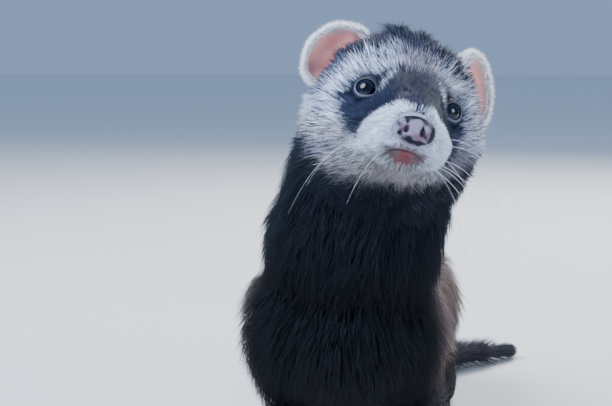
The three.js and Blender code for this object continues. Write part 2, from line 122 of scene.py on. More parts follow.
# Body. A paw's toes spread over these shares of its width, at these heights, from root to knuckle to tip.
FOREPAW_WIDTH, HINDPAW_WIDTH = 16, 15
TOES, TOE_RADIUS, TOE_LENGTH = 5, 2.5, 12
TOE_FAN = (0.6, 0.95, 1.15)
TOE_HEIGHTS = (4.2, 4.4, 2.3)
CLAW_LENGTH, CLAW_RADII = 6.5, (1.0, 0.14)
CLAW_ROOT_INSIDE, CLAW_RISE, CLAW_DROP = 1.8, 1.0, 2.2
BODY_MELT, FACE_MELT = 9, 4
BOTH = (-1, 1)

# Depth of the coat over the skin: on the trunk and the feet, and where it is thinnest on the face and the
# tail, with how much deeper it gets towards the skull and the tail's root
BODY_COAT, FOOT_COAT = 6.2, 0.8
NOSE_COAT, SKULL_COAT_MORE = 0.9, 3.2
TAIL_END_COAT, TAIL_ROOT_COAT_MORE = 1.2, 3.6
SKIN_OFF_FLOOR = 0.5

# The hairs of the face run away from this point in the muzzle, in the head's axes
PARTING_AT = at(0, -20, -10)

# Tufts in each piece of the coat, on both lids together and on each ear
TUFTS = {"muzzle": 20000, "face": 42000, "crown": 16000, "cheeks": 15000, "neck": 19000, "chest": 17000,
         "flanks": 16000, "rump": 14000, "forelegs": 10000, "hindlegs": 10000, "tail": 9000}
LID_TUFTS = 1500
EAR_TUFTS = 9000

# Colours of the coat
SNOW = linear("#e0ebff")
# Cream of the jaw and chin, greyed partly as painted shade under the head
CREAM_WITH_PAINTED_SHADE = linear("#a39f9f")
ASH = linear("#a5a8b4")
PEPPER = linear("#757480")
SLATE = linear("#1f2941")
NIGHT = linear("#0d131d")
UMBER = linear("#1c1817")
TAUPE = linear("#ab988e")
SMOKE = linear("#2a2b33")

# Colours of the bare skin and the short hairs on it
LIP_RED = linear("#75262c")
LIP_BROWN = linear("#654e4d")
LID_EDGE = linear("#07080b")
LOWER_LID, UPPER_LID = linear("#586072"), linear("#2e303c")
NOSE_LAVENDER, NOSE_MAUVE = linear("#9b94aa"), linear("#75586b")
# Charcoal of the nose's mottling, and painted shade inside the nostrils
NOSE_CHARCOAL, NOSTRIL_SHADE = linear("#161a25"), linear("#3a1420")
EAR_PINK, EAR_PALE_PINK = linear("#f29490"), linear("#fbb8b0")
EAR_RIM, EAR_BACK = linear("#f3edf0"), linear("#4c4a56")
EAR_WHITE_HAIR, EAR_DARK_HAIR = linear("#fbfbff"), linear("#3a3540")


# Turned axes of the head


def turned(x, y, z):
    """Rotation that turns about Z, then raises about X, then tilts about Y, each in its own turned axes."""
    cx, sx, cy, sy, cz, sz = (f(math.radians(a)) for a in (x, y, z) for f in (math.cos, math.sin))
    about_x = np.array([[1, 0, 0], [0, cx, -sx], [0, sx, cx]])
    about_y = np.array([[cy, 0, sy], [0, 1, 0], [-sy, 0, cy]])
    about_z = np.array([[cz, -sz, 0], [sz, cz, 0], [0, 0, 1]])
    return about_z @ about_x @ about_y


HEAD_AT = CHEST_SPOT + EYES_AT
HEAD_AXES = turned(HEAD_RAISE, HEAD_TILT, HEAD_TURN)


def in_head(points):
    return (points - HEAD_AT) @ HEAD_AXES


def from_head(points):
    return np.asarray(points, float) @ HEAD_AXES.T + HEAD_AT


# Blended forms: each gives the distance from points to a surface, negative inside


def ball(centre, radii):
    """A ball of one radius, or a longish one with a radius for each axis."""
    def form(p):
        q = (p - centre) / radii
        reach = length_of(q)
        slope = length_of(q / radii)
        return reach * (reach - 1) / np.maximum(slope, 1e-6)
    return form


def limb(start, start_radius, end, end_radius):
    """A stretch with round ends that tapers from one radius to another."""
    line = end - start

    def form(p):
        share = np.clip((p - start) @ line / (line @ line), 0, 1)
        away = p - (start + share[:, None] * line)
        return length_of(away) - (start_radius + (end_radius - start_radius) * share)
    return form


def chain(points, radii):
    return [limb(a, ra, b, rb) for a, ra, b, rb in zip(points, radii, points[1:], radii[1:])]


def blend(forms, melt):
    """Forms joined into one, which melt together where they come closer than melt."""
    def form(p):
        nearest = np.full(len(p), 1e9)
        for each in forms:
            distance = each(p)
            overlap = np.maximum(melt - np.abs(nearest - distance), 0) / melt
            nearest = np.minimum(nearest, distance) - overlap**2 * melt / 4
        return nearest
    return form


def cut(form, tool, melt):
    """The form with the tool taken out of it, and a soft edge."""
    def carved(p):
        return -blend([lambda q: -form(q), tool], melt)(p)
    return carved


def slope_of(form, p, step=0.05):
    here = form(p)
    return np.stack([(form(p + axis * step) - here) / step for axis in np.eye(3)], axis=1)


def settle(form, p, tries=3, most=2.0):
    """Moves points along the slope of a form until they lie on its surface."""
    for _ in range(tries):
        slope = slope_of(form, p)
        size = np.maximum((slope**2).sum(1), 0.2)
        move = np.clip(form(p) / size, -most, most)
        p = p - slope * move[:, None]
    return p


# The animal's forms, out to the outside of its coat

FACE = blend([
    # Skull, and the wedge in which it narrows forwards
    ball(at(0, 21, 2), at(25.5, 19, 21)),
    limb(at(0, -2, -3.5), 11.6, at(0, 18, 1), 19),
    # Cheeks, and the jaws that run forwards from them
    *[ball(at(s * 16, 20, -8), at(13, 16, 16)) for s in BOTH],
    *[limb(at(s * 14, 14, -11), 11, at(s * 5.5, -12, -14.5), 7) for s in BOTH],
    # Muzzle, whisker pads and chin
    limb(at(0, 0, -6), 12, at(0, -18, -11), 8.3),
    *[ball(at(s * 6, -14.5, -13.2), at(7.2, 8.5, 6.2)) for s in BOTH],
    limb(at(0, -14, -20), 5, at(0, 6, -19), 8),
    # Bridge of the nose, and throat
    limb(at(0, -18, -7.5), 6.3, at(0, 4, 1), 9),
    ball(at(0, 16, -15), at(21, 18, 12)),
], FACE_MELT)


def foreleg(s):
    shoulder, elbow = at(s * 17, 18, 50), at(s * 20, 25, 34)
    wrist, palm = at(s * 18.5, 10, 12), at(s * 18.5, 0, 6)
    bones = [ball(shoulder, at(14, 18, 22)), *chain([shoulder, elbow, wrist, palm], [12, 10.5, 7.4, 6.4])]
    foot = [limb(elbow, 10.5, wrist, 7.4), limb(wrist, 7.4, palm, 6), ball(palm, at(7.4, 8, 6))]
    return {"bones": bones, "foot": foot, "palm": palm, "width": FOREPAW_WIDTH,
            "line": [shoulder, elbow, wrist, palm]}


def hindleg(s):
    hip, knee, hock = at(s * 17.5, 120, 42), at(s * 22.5, 98, 27), at(s * 22.5, 132, 14)
    heel, palm = at(s * 24, 135, 5), at(s * 25.5, 97, 4.6)
    bones = [ball(hip, at(14.5, 27, 25)), limb(hip, 15, knee, 11.5),
             *chain([knee, hock, heel, palm], [10.5, 8, 5.6, 5.4])]
    foot = [limb(hock, 8, heel, 5.6), limb(heel, 5.6, palm, 5.4), ball(palm, at(7, 9, 5.6))]
    return {"bones": bones, "foot": foot, "palm": palm, "width": HINDPAW_WIDTH,
            "line": [hip, knee, hock, heel, palm]}


LEGS = [leg(s) for leg in (foreleg, hindleg) for s in BOTH]
NECK_LINE = [at(0, 16, 60), at(4, 8, 88), at(9, 8, 106), from_head(at(0, 20, -8)) - CHEST_SPOT]
BACK_LINE = [at(0, 22, 56), at(0, 60, 60), at(-1, 98, 60)]
TAIL_LINE = [at(0, 136, 42), at(4, 155, 23), at(12, 168, 10.5), at(24, 182, 8), at(39, 198, 6.5),
             at(54, 216, 4)]
TAIL_RADII = [15, 12, 9.4, 8, 7.2, 4.4]

TRUNK = blend([
    ball(at(0, 16, 55), at(31, 34, 28)),
    *chain(NECK_LINE, [29, 27, 25.5, 22]),
    *chain(BACK_LINE, [27, 27, 27]),
    ball(at(0, 42, 64), at(24, 28, 23)),
    ball(at(-1, 120, 49), at(31, 32, 30)),
    ball(at(0, 140, 40), at(23, 20, 22)),
    *[bone for leg in LEGS for bone in leg["bones"]],
    limb(TAIL_LINE[0], 15, TAIL_LINE[1], 11),
    lambda p: FACE(in_head(p + CHEST_SPOT)),
], BODY_MELT)


def toe_points(leg):
    """Root, knuckle and tip of each toe: they fan out from the palm, the middle ones reaching furthest."""
    palm, width = leg["palm"], leg["width"]
    for i in range(TOES):
        share = i / (TOES - 1) - 0.5
        root = palm[1] + 1 + abs(share) * 5
        reach = TOE_LENGTH * (1 - 1.1 * share * share)
        ahead = (root, root - reach * 0.6, root - reach)
        yield [at(palm[0] + share * width * fan, y, z) for fan, y, z in zip(TOE_FAN, ahead, TOE_HEIGHTS)]


def toe_forms(leg):
    forms = []
    for root, knuckle, tip in toe_points(leg):
        middle = (root + 2 * knuckle + tip) / 4
        forms += chain([root, middle, tip], [TOE_RADIUS, TOE_RADIUS, TOE_RADIUS * 0.8])
    return forms


FEET = blend([blend([*leg["foot"], *toe_forms(leg)], 1.6) for leg in LEGS], 1)
TAIL = blend(chain(TAIL_LINE, TAIL_RADII), 2)
ANIMAL = blend([TRUNK, FEET, TAIL], 1.5)


def outside(p):
    """Distance of points in the frame to the outside of the coat."""
    return ANIMAL(p - CHEST_SPOT)


def head_outside(q):
    """The same for points in the head's axes."""
    return outside(from_head(q))


def on_face(points):
    """Points near the head's surface, in its axes, moved onto it."""
    return settle(head_outside, np.array(points, float), 6)


# Eyes, from the frame's own eyeballs


def eye_centre(name):
    low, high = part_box(name)
    return np.array((low + high) / 2) / MM


EYES = {s: eye_centre(name) for s, name in ((-1, "eye_right"), (1, "eye_left"))}


def eye_aim(s):
    """An eye looks between straight out of the face and straight ahead, in the head's axes."""
    spot = on_face([(s * 13.8, 0, 0)])
    out = unit(slope_of(head_outside, spot))[0]
    return unit(out + EYE_AHEAD * at(0, -1, 0))


def eye_axes(s):
    """Across, up and out of an eye, in the frame."""
    aim = eye_aim(s)
    across = unit(np.cross(at(0, 0, 1), aim))
    return [HEAD_AXES @ v for v in (across, np.cross(aim, across), aim)]


EYE_AXES = {s: eye_axes(s) for s in BOTH}


# How deep the coat is, and how it lies


def parts_of(p):
    """Places of points in the head's axes and from the chest's spot on the floor, and how far each point
    belongs to the head, the feet and the tail, from 0 to 1."""
    q = in_head(p)
    on_body = p - CHEST_SPOT
    head = ramp(q[:, 2] * 0.83 - q[:, 1] * 0.55, -31, -22) * ramp(on_body[:, 2], 88, 100)
    foot = ramp(on_body[:, 2], 26, 9) * ramp(on_body[:, 1], 160, 150)
    tail = ramp(on_body[:, 1], 146, 160)
    return q, on_body, head, foot, tail


def coat_depth(p):
    """Distance from the outside of the coat to the skin."""
    q, on_body, head, foot, tail = parts_of(p)
    on_head = NOSE_COAT + SKULL_COAT_MORE * ramp(length_of(q - NOSE_TIP), 16, 52)
    depth = BODY_COAT + (on_head - BODY_COAT) * head
    depth += (FOOT_COAT - depth) * foot
    on_tail = TAIL_ROOT_COAT_MORE * ramp(on_body[:, 1], 222, 200) + TAIL_END_COAT
    return depth + (on_tail - depth) * tail


def skin_form(p):
    """Distance of points to the skin, which lies as deep as the coat and stays clear of the floor."""
    return np.maximum(outside(p) + coat_depth(p), SKIN_OFF_FLOOR - p[:, 2])


# Lines that the hairs run along, with the direction at each stretch
LIE_LINES = [NECK_LINE[::-1], BACK_LINE + [at(0, 132, 46)], TAIL_LINE, *[leg["line"] for leg in LEGS]]


def lie(p):
    """Direction in which the hairs lie, before it is laid on the skin."""
    q, on_body, head, _, _ = parts_of(p)
    total = np.zeros_like(p)
    for line in LIE_LINES:
        for start, end in zip(line, line[1:]):
            along = end - start
            share = np.clip((on_body - start) @ along / (along @ along), 0, 1)
            away = length_of(on_body - start - share[:, None] * along)
            total += unit(along) * (1 / (away + 2) ** 3)[:, None]
    from_nose = unit(q - PARTING_AT) @ HEAD_AXES.T
    return mix(unit(total), from_nose, head)


# Markings. Their borders are in millimetres, from where a colour starts to show to where it is full, and
# the white streak over an eye runs down from its top.

BROW_TO_CROWN = (16.8, 20.0)
MASK_TOP, MASK_SIDE, MASK_FOOT = (11.6, 9.2), (23.0, 20.6), (-16.5, -14)
MUZZLE_LENGTH, MUZZLE_BORDER = 26.1, (0.9, -0.9)
STREAK_TOP, STREAK_RUN = at(8.1, -2.2, 6.9), at(1.8, -4, -5)
CHEEK_TO_NECK = (16.4, 19.4)


def head_colours(q, soft):
    """Colours of the head at points in its axes: pale band and cheeks, dark crown and mask, white muzzle."""
    side, y, z = q.T
    x = np.abs(side)
    # Cheeks and brow band, paler on the right side, and grizzled in the middle
    band = mix(ASH * 0.95, SNOW, 0.4 + 0.6 * ramp(side, 8, -9))
    band = mix(band, PEPPER, ramp(x, 12, 3) * 0.9)
    colour = mix(band, mix(CREAM_WITH_PAINTED_SHADE, SNOW, 0.3), ramp(z, -6, -16))
    colour = mix(colour, PEPPER * 1.2, 0.5 * ramp(x, 7, 14) * ramp(z, -15, -21))
    colour = mix(colour, PEPPER * 0.9, ramp(side, 12, 19) * ramp(z, -7, -13))
    # Dark crown, and the dark strip before each ear
    arch = z + 0.021 * x**2
    crown = arch + 4 * ramp(x, 22, 26.5) - 1.5 * ramp(side, 5, 14) + 1.6 * soft
    colour = mix(colour, mix(SLATE * 1.9, SLATE * 0.7, ramp(arch, 18.5, 22)), ramp(crown, *BROW_TO_CROWN))
    # Mask round the eyes and over the bridge of the nose
    top = ramp(arch + soft, *MASK_TOP)
    edge = x + 1.5 * ramp(side, -5, 5) - 0.45 * np.minimum(z + 7, 0)
    edge = ramp(edge + soft, *MASK_SIDE) * ramp(z + 3.5 * ramp(side, 5, 12) + soft, *MASK_FOOT)
    colour = mix(colour, SLATE * (1 - 0.25 * ramp(x, 9, 4))[:, None], top * edge)
    # A thin white streak stands over the inner corner of each eye
    beside = np.stack([x, y, z], 1) - STREAK_TOP
    along = np.clip(beside @ STREAK_RUN / (STREAK_RUN @ STREAK_RUN), 0, 1)
    away = length_of(beside - along[:, None] * STREAK_RUN)
    colour = mix(colour, SNOW * 0.8, ramp(away + 0.4 * soft, 2.0, 0.8))
    # White muzzle, and the cream of the jaw and chin, greyed partly as painted shade under the head
    edge = y - 0.307 * x + 0.956 * z + MUZZLE_LENGTH + soft * 0.9 + wander(q, 1.5, 4)
    edge += 2.7 * ramp(x, 11, 3) + 1.0 * ramp(side, 5, 9)
    edge += 2.4 * ramp(x, 10.5, 13) - 3.4 * ramp(x, 3, 7) * ramp(x, 12.5, 10)
    white = mix(SNOW, CREAM_WITH_PAINTED_SHADE, ramp(z, -17, -24))
    return mix(colour, white, ramp(edge, *MUZZLE_BORDER))


def body_colours(on_body, foot, tail, soft):
    """Colours of the body at points from the chest's spot: bluish black neck and legs, brown back, pale
    undercoat on the flanks, and a smoky tail."""
    beside, y, z = np.abs(on_body[:, 0]), on_body[:, 1], on_body[:, 2]
    colour = mix(NIGHT, UMBER, ramp(y, 25, 60))
    colour = mix(colour, NIGHT * 2.0, ramp(z, 70, 100) * ramp(y, 60, 30))
    behind_ribs = y + 22 * ramp(beside, 20, 31) * ramp(z, 84, 64)
    behind_ribs = ramp(behind_ribs + 3 * soft, 24, 60) * ramp(y + 3 * soft, 160, 112)
    flank = (0.35 + 0.5 * ramp(beside, 12, 26)) * behind_ribs * (1 - 0.9 * ramp(z, 27, 15))
    thigh = ramp(y, 76, 92) * ramp(beside, 8, 15) * ramp(z + 3 * soft, 50, 22)
    foreleg_side = ramp(y, 50, 38) * ramp(z + 3 * soft, 50, 30)
    colour = mix(colour, TAUPE, flank * (1 - 0.85 * np.maximum(thigh, foreleg_side)))
    colour = mix(colour, NIGHT * 1.15, foot * 0.8)
    return mix(colour, SMOKE, tail)


def markings(p):
    """Linear colour of the coat at points in the frame."""
    q, on_body, head, foot, tail = parts_of(p)
    soft = wander(q, 3.2, 3) * 0.9
    # The head's pale fur ends behind the cheeks and under the chin
    side, y, z = q.T
    behind = y * 0.55 - z * 0.83 - 0.33 * np.abs(side)
    behind = behind + 0.42 * np.maximum(side - 4, 0) + 0.2 * np.maximum(-side - 7, 0)
    behind = ramp(behind + soft, *CHEEK_TO_NECK)
    behind = np.maximum(behind, ramp(y + soft, 23, 29) * ramp(z, -34, -20))
    return mix(body_colours(on_body, foot, tail, soft), head_colours(q, soft), head * (1 - behind))


def lip_share(q):
    """How far points in the head's axes lie on the lower lip, from 0 to 1."""
    up = q[:, 2] - LIP_LEVEL - 0.03 * q[:, 0]**2
    return ramp(np.hypot(q[:, 0] / LIP_HALF_WIDTH, up / LIP_HALF_HEIGHT), 1.25, 0.75) * (q[:, 1] < -13)


def lip_colour(q):
    return mix(LIP_BROWN, LIP_RED, ramp(np.abs(q[:, 0] - 0.4), 3.6, 0.8))


def bare(p):
    """How bare the skin is at points in the frame: under the nose pad, round the eyeballs and on the lip."""
    q = in_head(p)
    most = ramp(length_of((q - NOSE_AT) / at(6.0, 4.7, 4.8)), 1.04, 0.96)
    for centre in EYES.values():
        from_eye = length_of(p - centre)
        most = np.maximum(most, ramp(from_eye, EYE_RADIUS + 0.9, EYE_RADIUS + 0.6))
    return np.maximum(most, 0.9 * lip_share(q))


def in_the_way(p):
    """How far hairs that reach these points would hide the eyes or the lower lip, from 0 to 1."""
    most = 0.8 * lip_share(in_head(p))
    for s, centre in EYES.items():
        aim = EYE_AXES[s][2]
        away = p - centre
        ahead = away @ aim
        beside = length_of(away - ahead[:, None] * aim)
        most = np.maximum(most, ramp(beside, 4.3, 3.7) * (ahead > 2) * (ahead < 9))
    return most


# Meshes from arrays


def new_object(name, data):
    made = bpy.data.objects.new(name, data)
    bpy.context.scene.collection.objects.link(made)
    return made


def make_mesh(name, points, faces, material, attributes, uv=None):
    """A smooth piece from points in millimetres, faces that all have as many corners, and values or
    colours at its points."""
    mesh = bpy.data.meshes.new(name)
    faces = np.asarray(faces, np.int32)
    mesh.vertices.add(len(points))
    mesh.vertices.foreach_set("co", (np.asarray(points) * MM).astype(np.float32).ravel())
    mesh.loops.add(faces.size)
    mesh.loops.foreach_set("vertex_index", faces.ravel())
    mesh.polygons.add(len(faces))
    mesh.polygons.foreach_set("loop_start", np.arange(0, faces.size, faces.shape[1], dtype=np.int32))
    mesh.update(calc_edges=True)
    mesh.shade_smooth()
    for key, values in attributes.items():
        values = np.asarray(values, np.float32)
        if values.ndim == 2:
            layer = mesh.color_attributes.new(key, "FLOAT_COLOR", "POINT")
            with_alpha = np.ones((len(values), 4), np.float32)
            with_alpha[:, :3] = values
            layer.data.foreach_set("color", with_alpha.ravel())
        else:
            mesh.attributes.new(key, "FLOAT", "POINT").data.foreach_set("value", values)
    if uv is not None:
        layer = mesh.uv_layers.new(name="OFBake")
        layer.data.foreach_set("uv", uv.astype(np.float32)[faces.ravel()].ravel())
    mesh.materials.append(material)
    return new_object(name, mesh)


def spaced(low, high, step):
    return np.linspace(low, high, int(round((high - low) / step)) + 1)


def closed_surface(form, axes, coarse=4, tries=2):
    """Points and quads of a closed surface over a form: one point in each cell of the grid that the
    surface crosses, settled onto it, and a quad round each grid edge that passes through it."""
    shape = tuple(len(a) for a in axes)
    rough_axes = [a[coarse // 2::coarse] for a in axes]
    rough = form(np.stack(np.meshgrid(*rough_axes, indexing="ij"), -1).reshape(-1, 3))
    rough = rough.reshape([len(a) for a in rough_axes])
    picks = [np.minimum(np.arange(n) // coarse, len(a) - 1) for n, a in zip(shape, rough_axes)]
    values = rough[np.ix_(*picks)]
    step = max(np.diff(a).max() for a in axes)
    near = np.abs(values) < coarse * step * 1.3
    where = np.argwhere(near)
    values[near] = form(np.stack([a[where[:, i]] for i, a in enumerate(axes)], 1))
    for i in range(3):
        for end in (0, -1):
            edge = [slice(None)] * 3
            edge[i] = end
            values[tuple(edge)] = np.maximum(values[tuple(edge)], 0.1)
    inside = values < 0
    corners = sum(inside[i:shape[0] - 1 + i, j:shape[1] - 1 + j, k:shape[2] - 1 + k].astype(np.int8)
                  for i in (0, 1) for j in (0, 1) for k in (0, 1))
    active = (corners > 0) & (corners < 8)
    cells = np.argwhere(active)
    index = np.full(active.shape, -1)
    index[active] = np.arange(len(cells))
    total, count = np.zeros((len(cells), 3)), np.zeros(len(cells))
    unit_steps = np.eye(3, dtype=int)
    for axis in range(3):
        u, w = unit_steps[(axis + 1) % 3], unit_steps[(axis + 2) % 3]
        for offset in (0 * u, u, w, u + w):
            first = cells + offset
            second = first + unit_steps[axis]
            a, b = values[tuple(first.T)], values[tuple(second.T)]
            crossed = (a < 0) != (b < 0)
            share = np.where(crossed, a / np.where(crossed, a - b, 1), 0)
            start = np.stack([axes[i][first[:, i]] for i in range(3)], 1)
            end = np.stack([axes[i][second[:, i]] for i in range(3)], 1)
            total += (start + (end - start) * share[:, None]) * crossed[:, None]
            count += crossed
    points = settle(form, total / count[:, None], tries, step * 0.4)
    quads = []
    for axis in range(3):
        u, w = unit_steps[(axis + 1) % 3], unit_steps[(axis + 2) % 3]
        head = [slice(None)] * 3
        tail = [slice(None)] * 3
        head[axis], tail[axis] = slice(None, -1), slice(1, None)
        starts_in = inside[tuple(head)]
        edges = np.argwhere(starts_in != inside[tuple(tail)])
        edges = edges[(edges @ u > 0) & (edges @ w > 0)]
        outwards = starts_in[tuple(edges.T)]
        ring = np.stack([index[tuple((edges - offset).T)] for offset in (u + w, w, 0 * u, u)], 1)
        quads.append(np.where(outwards[:, None], ring, ring[:, ::-1]))
    return points, np.concatenate(quads)


def ring_quads(rings, sides, looped=False):
    """Quads between neighbouring rings of points. Where looped, the last ring also joins the first."""
    i, k = np.meshgrid(np.arange(rings if looped else rings - 1), np.arange(sides), indexing="ij")
    here, ahead, beside = i * sides, (i + 1) % rings * sides, (k + 1) % sides
    return np.stack([here + k, ahead + k, ahead + beside, here + beside], -1).reshape(-1, 4)


def close_ends(piece):
    """Closes the open rings of a mesh with a flat face each, and turns its faces outwards."""
    work = bmesh.new()
    work.from_mesh(piece.data)
    bmesh.ops.holes_fill(work, edges=[e for e in work.edges if e.is_boundary], sides=0)
    bmesh.ops.recalc_face_normals(work, faces=work.faces)
    for face in work.faces:
        face.smooth = True
    work.to_mesh(piece.data)
    work.free()


# Materials


def add(tree, kind, inputs=None, **settings):
    """Adds a node with its settings. An input that is another node's socket is linked."""
    node = tree.nodes.new(kind)
    for key, value in settings.items():
        setattr(node, key, value)
    for key, value in (inputs or {}).items():
        if isinstance(value, bpy.types.NodeSocket):
            tree.links.new(value, node.inputs[key])
        else:
            node.inputs[key].default_value = value
    return node


def finish_of(name, **constants):
    """A material with a Principled shader and its constants, and the tree to add the pattern to."""
    material = bpy.data.materials.new(name)
    material.use_nodes = True
    tree = material.node_tree
    shader = tree.nodes["Principled BSDF"]
    for key, value in constants.items():
        shader.inputs[key.replace("_", " ")].default_value = value
    return material, tree, shader


def rgba(colour):
    return (*linear(colour), 1)


def object_place(tree, per_mm):
    """Object coordinates scaled so that one unit is 1 / per_mm millimetres."""
    place = add(tree, "ShaderNodeTexCoord").outputs["Object"]
    return add(tree, "ShaderNodeVectorMath", {0: place, 3: per_mm / MM}, operation="SCALE").outputs[0]


def coat_coloured(name, per_mm, detail, shades, **constants):
    """A finish in each piece's own colour, darker and brighter in a noise with so many grains to the
    millimetre. Gives the material, its tree and shader, and the noise, which a relief can follow."""
    material, tree, shader = finish_of(name, **constants)
    colour = add(tree, "ShaderNodeAttribute", attribute_name="coat").outputs["Color"]
    noise = add(tree, "ShaderNodeTexNoise", {"Vector": object_place(tree, per_mm), "Detail": detail})
    shade = add(tree, "ShaderNodeMapRange", {"Value": noise.outputs["Fac"], "From Min": 0.3, "From Max": 0.7,
                                             "To Min": shades[0], "To Max": shades[1]})
    tinted = add(tree, "ShaderNodeVectorMath", {0: colour, 3: shade.outputs[0]}, operation="SCALE")
    tree.links.new(tinted.outputs[0], shader.inputs["Base Color"])
    return material, tree, shader, noise.outputs["Fac"]


def fur_finish():
    """Ferret fur: shafts of keratin grown in close tufts, whose overlapping scales give them a soft, dull
    sheen. Real shades change from hair to hair, which is too fine to show, so they change over 1 mm here."""
    return coat_coloured("fur_hairs", 0.9, 2.0, (0.82, 1.12), Roughness=0.7, IOR=1.55,
                         Specular_IOR_Level=0.2)[0]


def hide_finish():
    """Hide under the fur: living skin, dry and finely wrinkled at 0.6 mm. It is matt and darker than the
    hairs, so that the depth between them reads as shade."""
    material, tree, shader, grain = coat_coloured("furred_hide", 1.6, 3.0, (0.6, 1.0), Roughness=0.8,
                                                  IOR=1.4)
    relief = add(tree, "ShaderNodeBump", {"Height": grain, "Strength": 0.5, "Distance": 0.4 * MM})
    tree.links.new(relief.outputs[0], shader.inputs["Normal"])
    return material


def nose_finish():
    """Nose leather: hairless skin grown in pebbles of 0.5 mm and kept damp by the animal, which breaks its
    wet shine into small soft spots over the mottling."""
    material, tree, shader, _ = coat_coloured(
        "nose_leather", 1.1, 2.5, (0.58, 1.1), Roughness=0.42, IOR=1.3, Specular_IOR_Level=0.3,
        Subsurface_Weight=0.08, Subsurface_Scale=0.001)
    pebbles = add(tree, "ShaderNodeTexVoronoi", {"Vector": object_place(tree, 2.0)})
    relief = add(tree, "ShaderNodeBump", {"Height": pebbles.outputs["Distance"], "Strength": 0.6,
                                          "Distance": 0.12 * MM}, invert=True)
    tree.links.new(relief.outputs[0], shader.inputs["Normal"])
    return material


# Colours of the eye from the middle of its pupil out, as shares of half a turn. The iris is dark, and its
# blue is partly a painted reflection of the sky.
IRIS_AND_REFLECTION_STOPS = [(0.0, "#010203"), (0.30, "#020304"), (0.38, "#071320"), (0.56, "#081a2b"), (0.70, "#040506"),
              (1.0, "#040303")]


def eye_finish():
    """Wet eye: a near-black pupil and a deep iris, under a cornea that tears keep polished. The iris's dark
    blue is partly a painted reflection of the sky. All the real shine is on that clear coat, so the dark
    stays deep and the lights in it small and sharp. The iris's fibres are too fine to show, so they are 0.5
    mm wide here."""
    material, tree, shader = finish_of("wet_eye", Roughness=0.5, Specular_IOR_Level=0.0, Coat_Weight=1.0,
                                       Coat_Roughness=0.015, Coat_IOR=1.38)
    angle = add(tree, "ShaderNodeAttribute", attribute_name="from_axis").outputs["Fac"]
    fibres = add(tree, "ShaderNodeTexNoise", {"Vector": object_place(tree, 1.8), "Detail": 3.0})
    wavy = add(tree, "ShaderNodeMath", {0: fibres.outputs["Fac"], 1: 0.1, 2: angle},
               operation="MULTIPLY_ADD")
    rings = add(tree, "ShaderNodeValToRGB", {"Fac": wavy.outputs[0]})
    stops = rings.color_ramp.elements
    while len(stops) < len(IRIS_AND_REFLECTION_STOPS):
        stops.new(0.5)
    for stop, (position, colour) in zip(stops, IRIS_AND_REFLECTION_STOPS):
        stop.position = position
        stop.color = rgba(colour)
    tree.links.new(rings.outputs["Color"], shader.inputs["Base Color"])
    return material


def bare_skin_finish(name, glow=0.15, **constants):
    """Bare skin of the lids, lips and ears: thin, supple and creased at 0.7 mm. Light goes a little way
    into it and comes out warmer, most in the ears, and moisture gives the lips and lids their gloss."""
    material, tree, shader, creases = coat_coloured(
        name, 1.4, 4.0, (0.8, 1.1), IOR=1.4, Subsurface_Weight=glow, Subsurface_Scale=0.0025, **constants)
    relief = add(tree, "ShaderNodeBump", {"Height": creases, "Strength": 0.5, "Distance": 0.2 * MM})
    tree.links.new(relief.outputs[0], shader.inputs["Normal"])
    return material


FUR = fur_finish()
HIDE = hide_finish()
NOSE_LEATHER = nose_finish()
EYE = eye_finish()
LID_SKIN = bare_skin_finish("lid_skin", Roughness=0.4)
LIP_SKIN = bare_skin_finish("moist_lip", Roughness=0.3, Coat_Weight=0.3)
EAR_SKIN = bare_skin_finish("ear_skin", 0.6, Roughness=0.55)


# Skin


def skin_grid():
    """Lines of the skin's grid across, along and up: finest on the head, widest on the back and belly."""
    return (CHEST_SPOT[0] + spaced(-38, 57, 0.95),
            CHEST_SPOT[1] + np.concatenate([spaced(-38, 36, 0.85), spaced(38, 222, 1.75)]),
            np.concatenate([spaced(-1, 20, 0.95), spaced(21.6, 92, 1.55), spaced(93, 157, 0.9)]))


def skin():
    """One skin over the whole body, with a dish and a socket for each eye and the mouth pressed in."""
    dishes = [ball(EYES[s] + EYE_AXES[s][2] * 4.4, 5.2) for s in BOTH]
    sockets = [ball(EYES[s], EYE_RADIUS + SOCKET_GAP) for s in BOTH]
    mouth = mouth_points(0)
    pressed = blend([*chain(mouth, [0.55] * len(mouth)), *sockets], 0.3)
    dished = cut(skin_form, blend(dishes, 1), 1.2)
    points, quads = closed_surface(cut(dished, pressed, 0.5), skin_grid())
    # The hide takes 0.6 of the coat's colour: painted shade in the depth between the hairs.
    colour = markings(points + unit(slope_of(outside, points)) * coat_depth(points)[:, None]) * 0.6
    q = in_head(points)
    colour = mix(colour, lip_colour(q), lip_share(q) * 0.9)
    piece = make_mesh("skin", points, quads, HIDE, {"coat": colour})
    limbs = [limb_name + side for limb_name in ("foreleg", "hindleg", "forepaw", "hindpaw")
             for side in ("_right", "_left")]
    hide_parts("torso", "neck", "head", "tail", *limbs)
    return piece, points, quads


# Nose, lips, lids and eyes


def mouth_points(drop, half_width=MOUTH_HALF_WIDTH, depth=0.9):
    """The line of the mouth, from side to side under the nose, in the frame, at a depth under the coat."""
    share = np.linspace(-1, 1, 25) * half_width / MOUTH_HALF_WIDTH
    _, y, z = MOUTH_FRONT
    line = np.stack([share * MOUTH_HALF_WIDTH, y + MOUTH_LENGTH * share**2,
                     z - drop - MOUTH_DROP * np.abs(share) ** 1.5], 1)
    return list(settle(lambda p: outside(p) + depth, from_head(on_face(line)), 3))


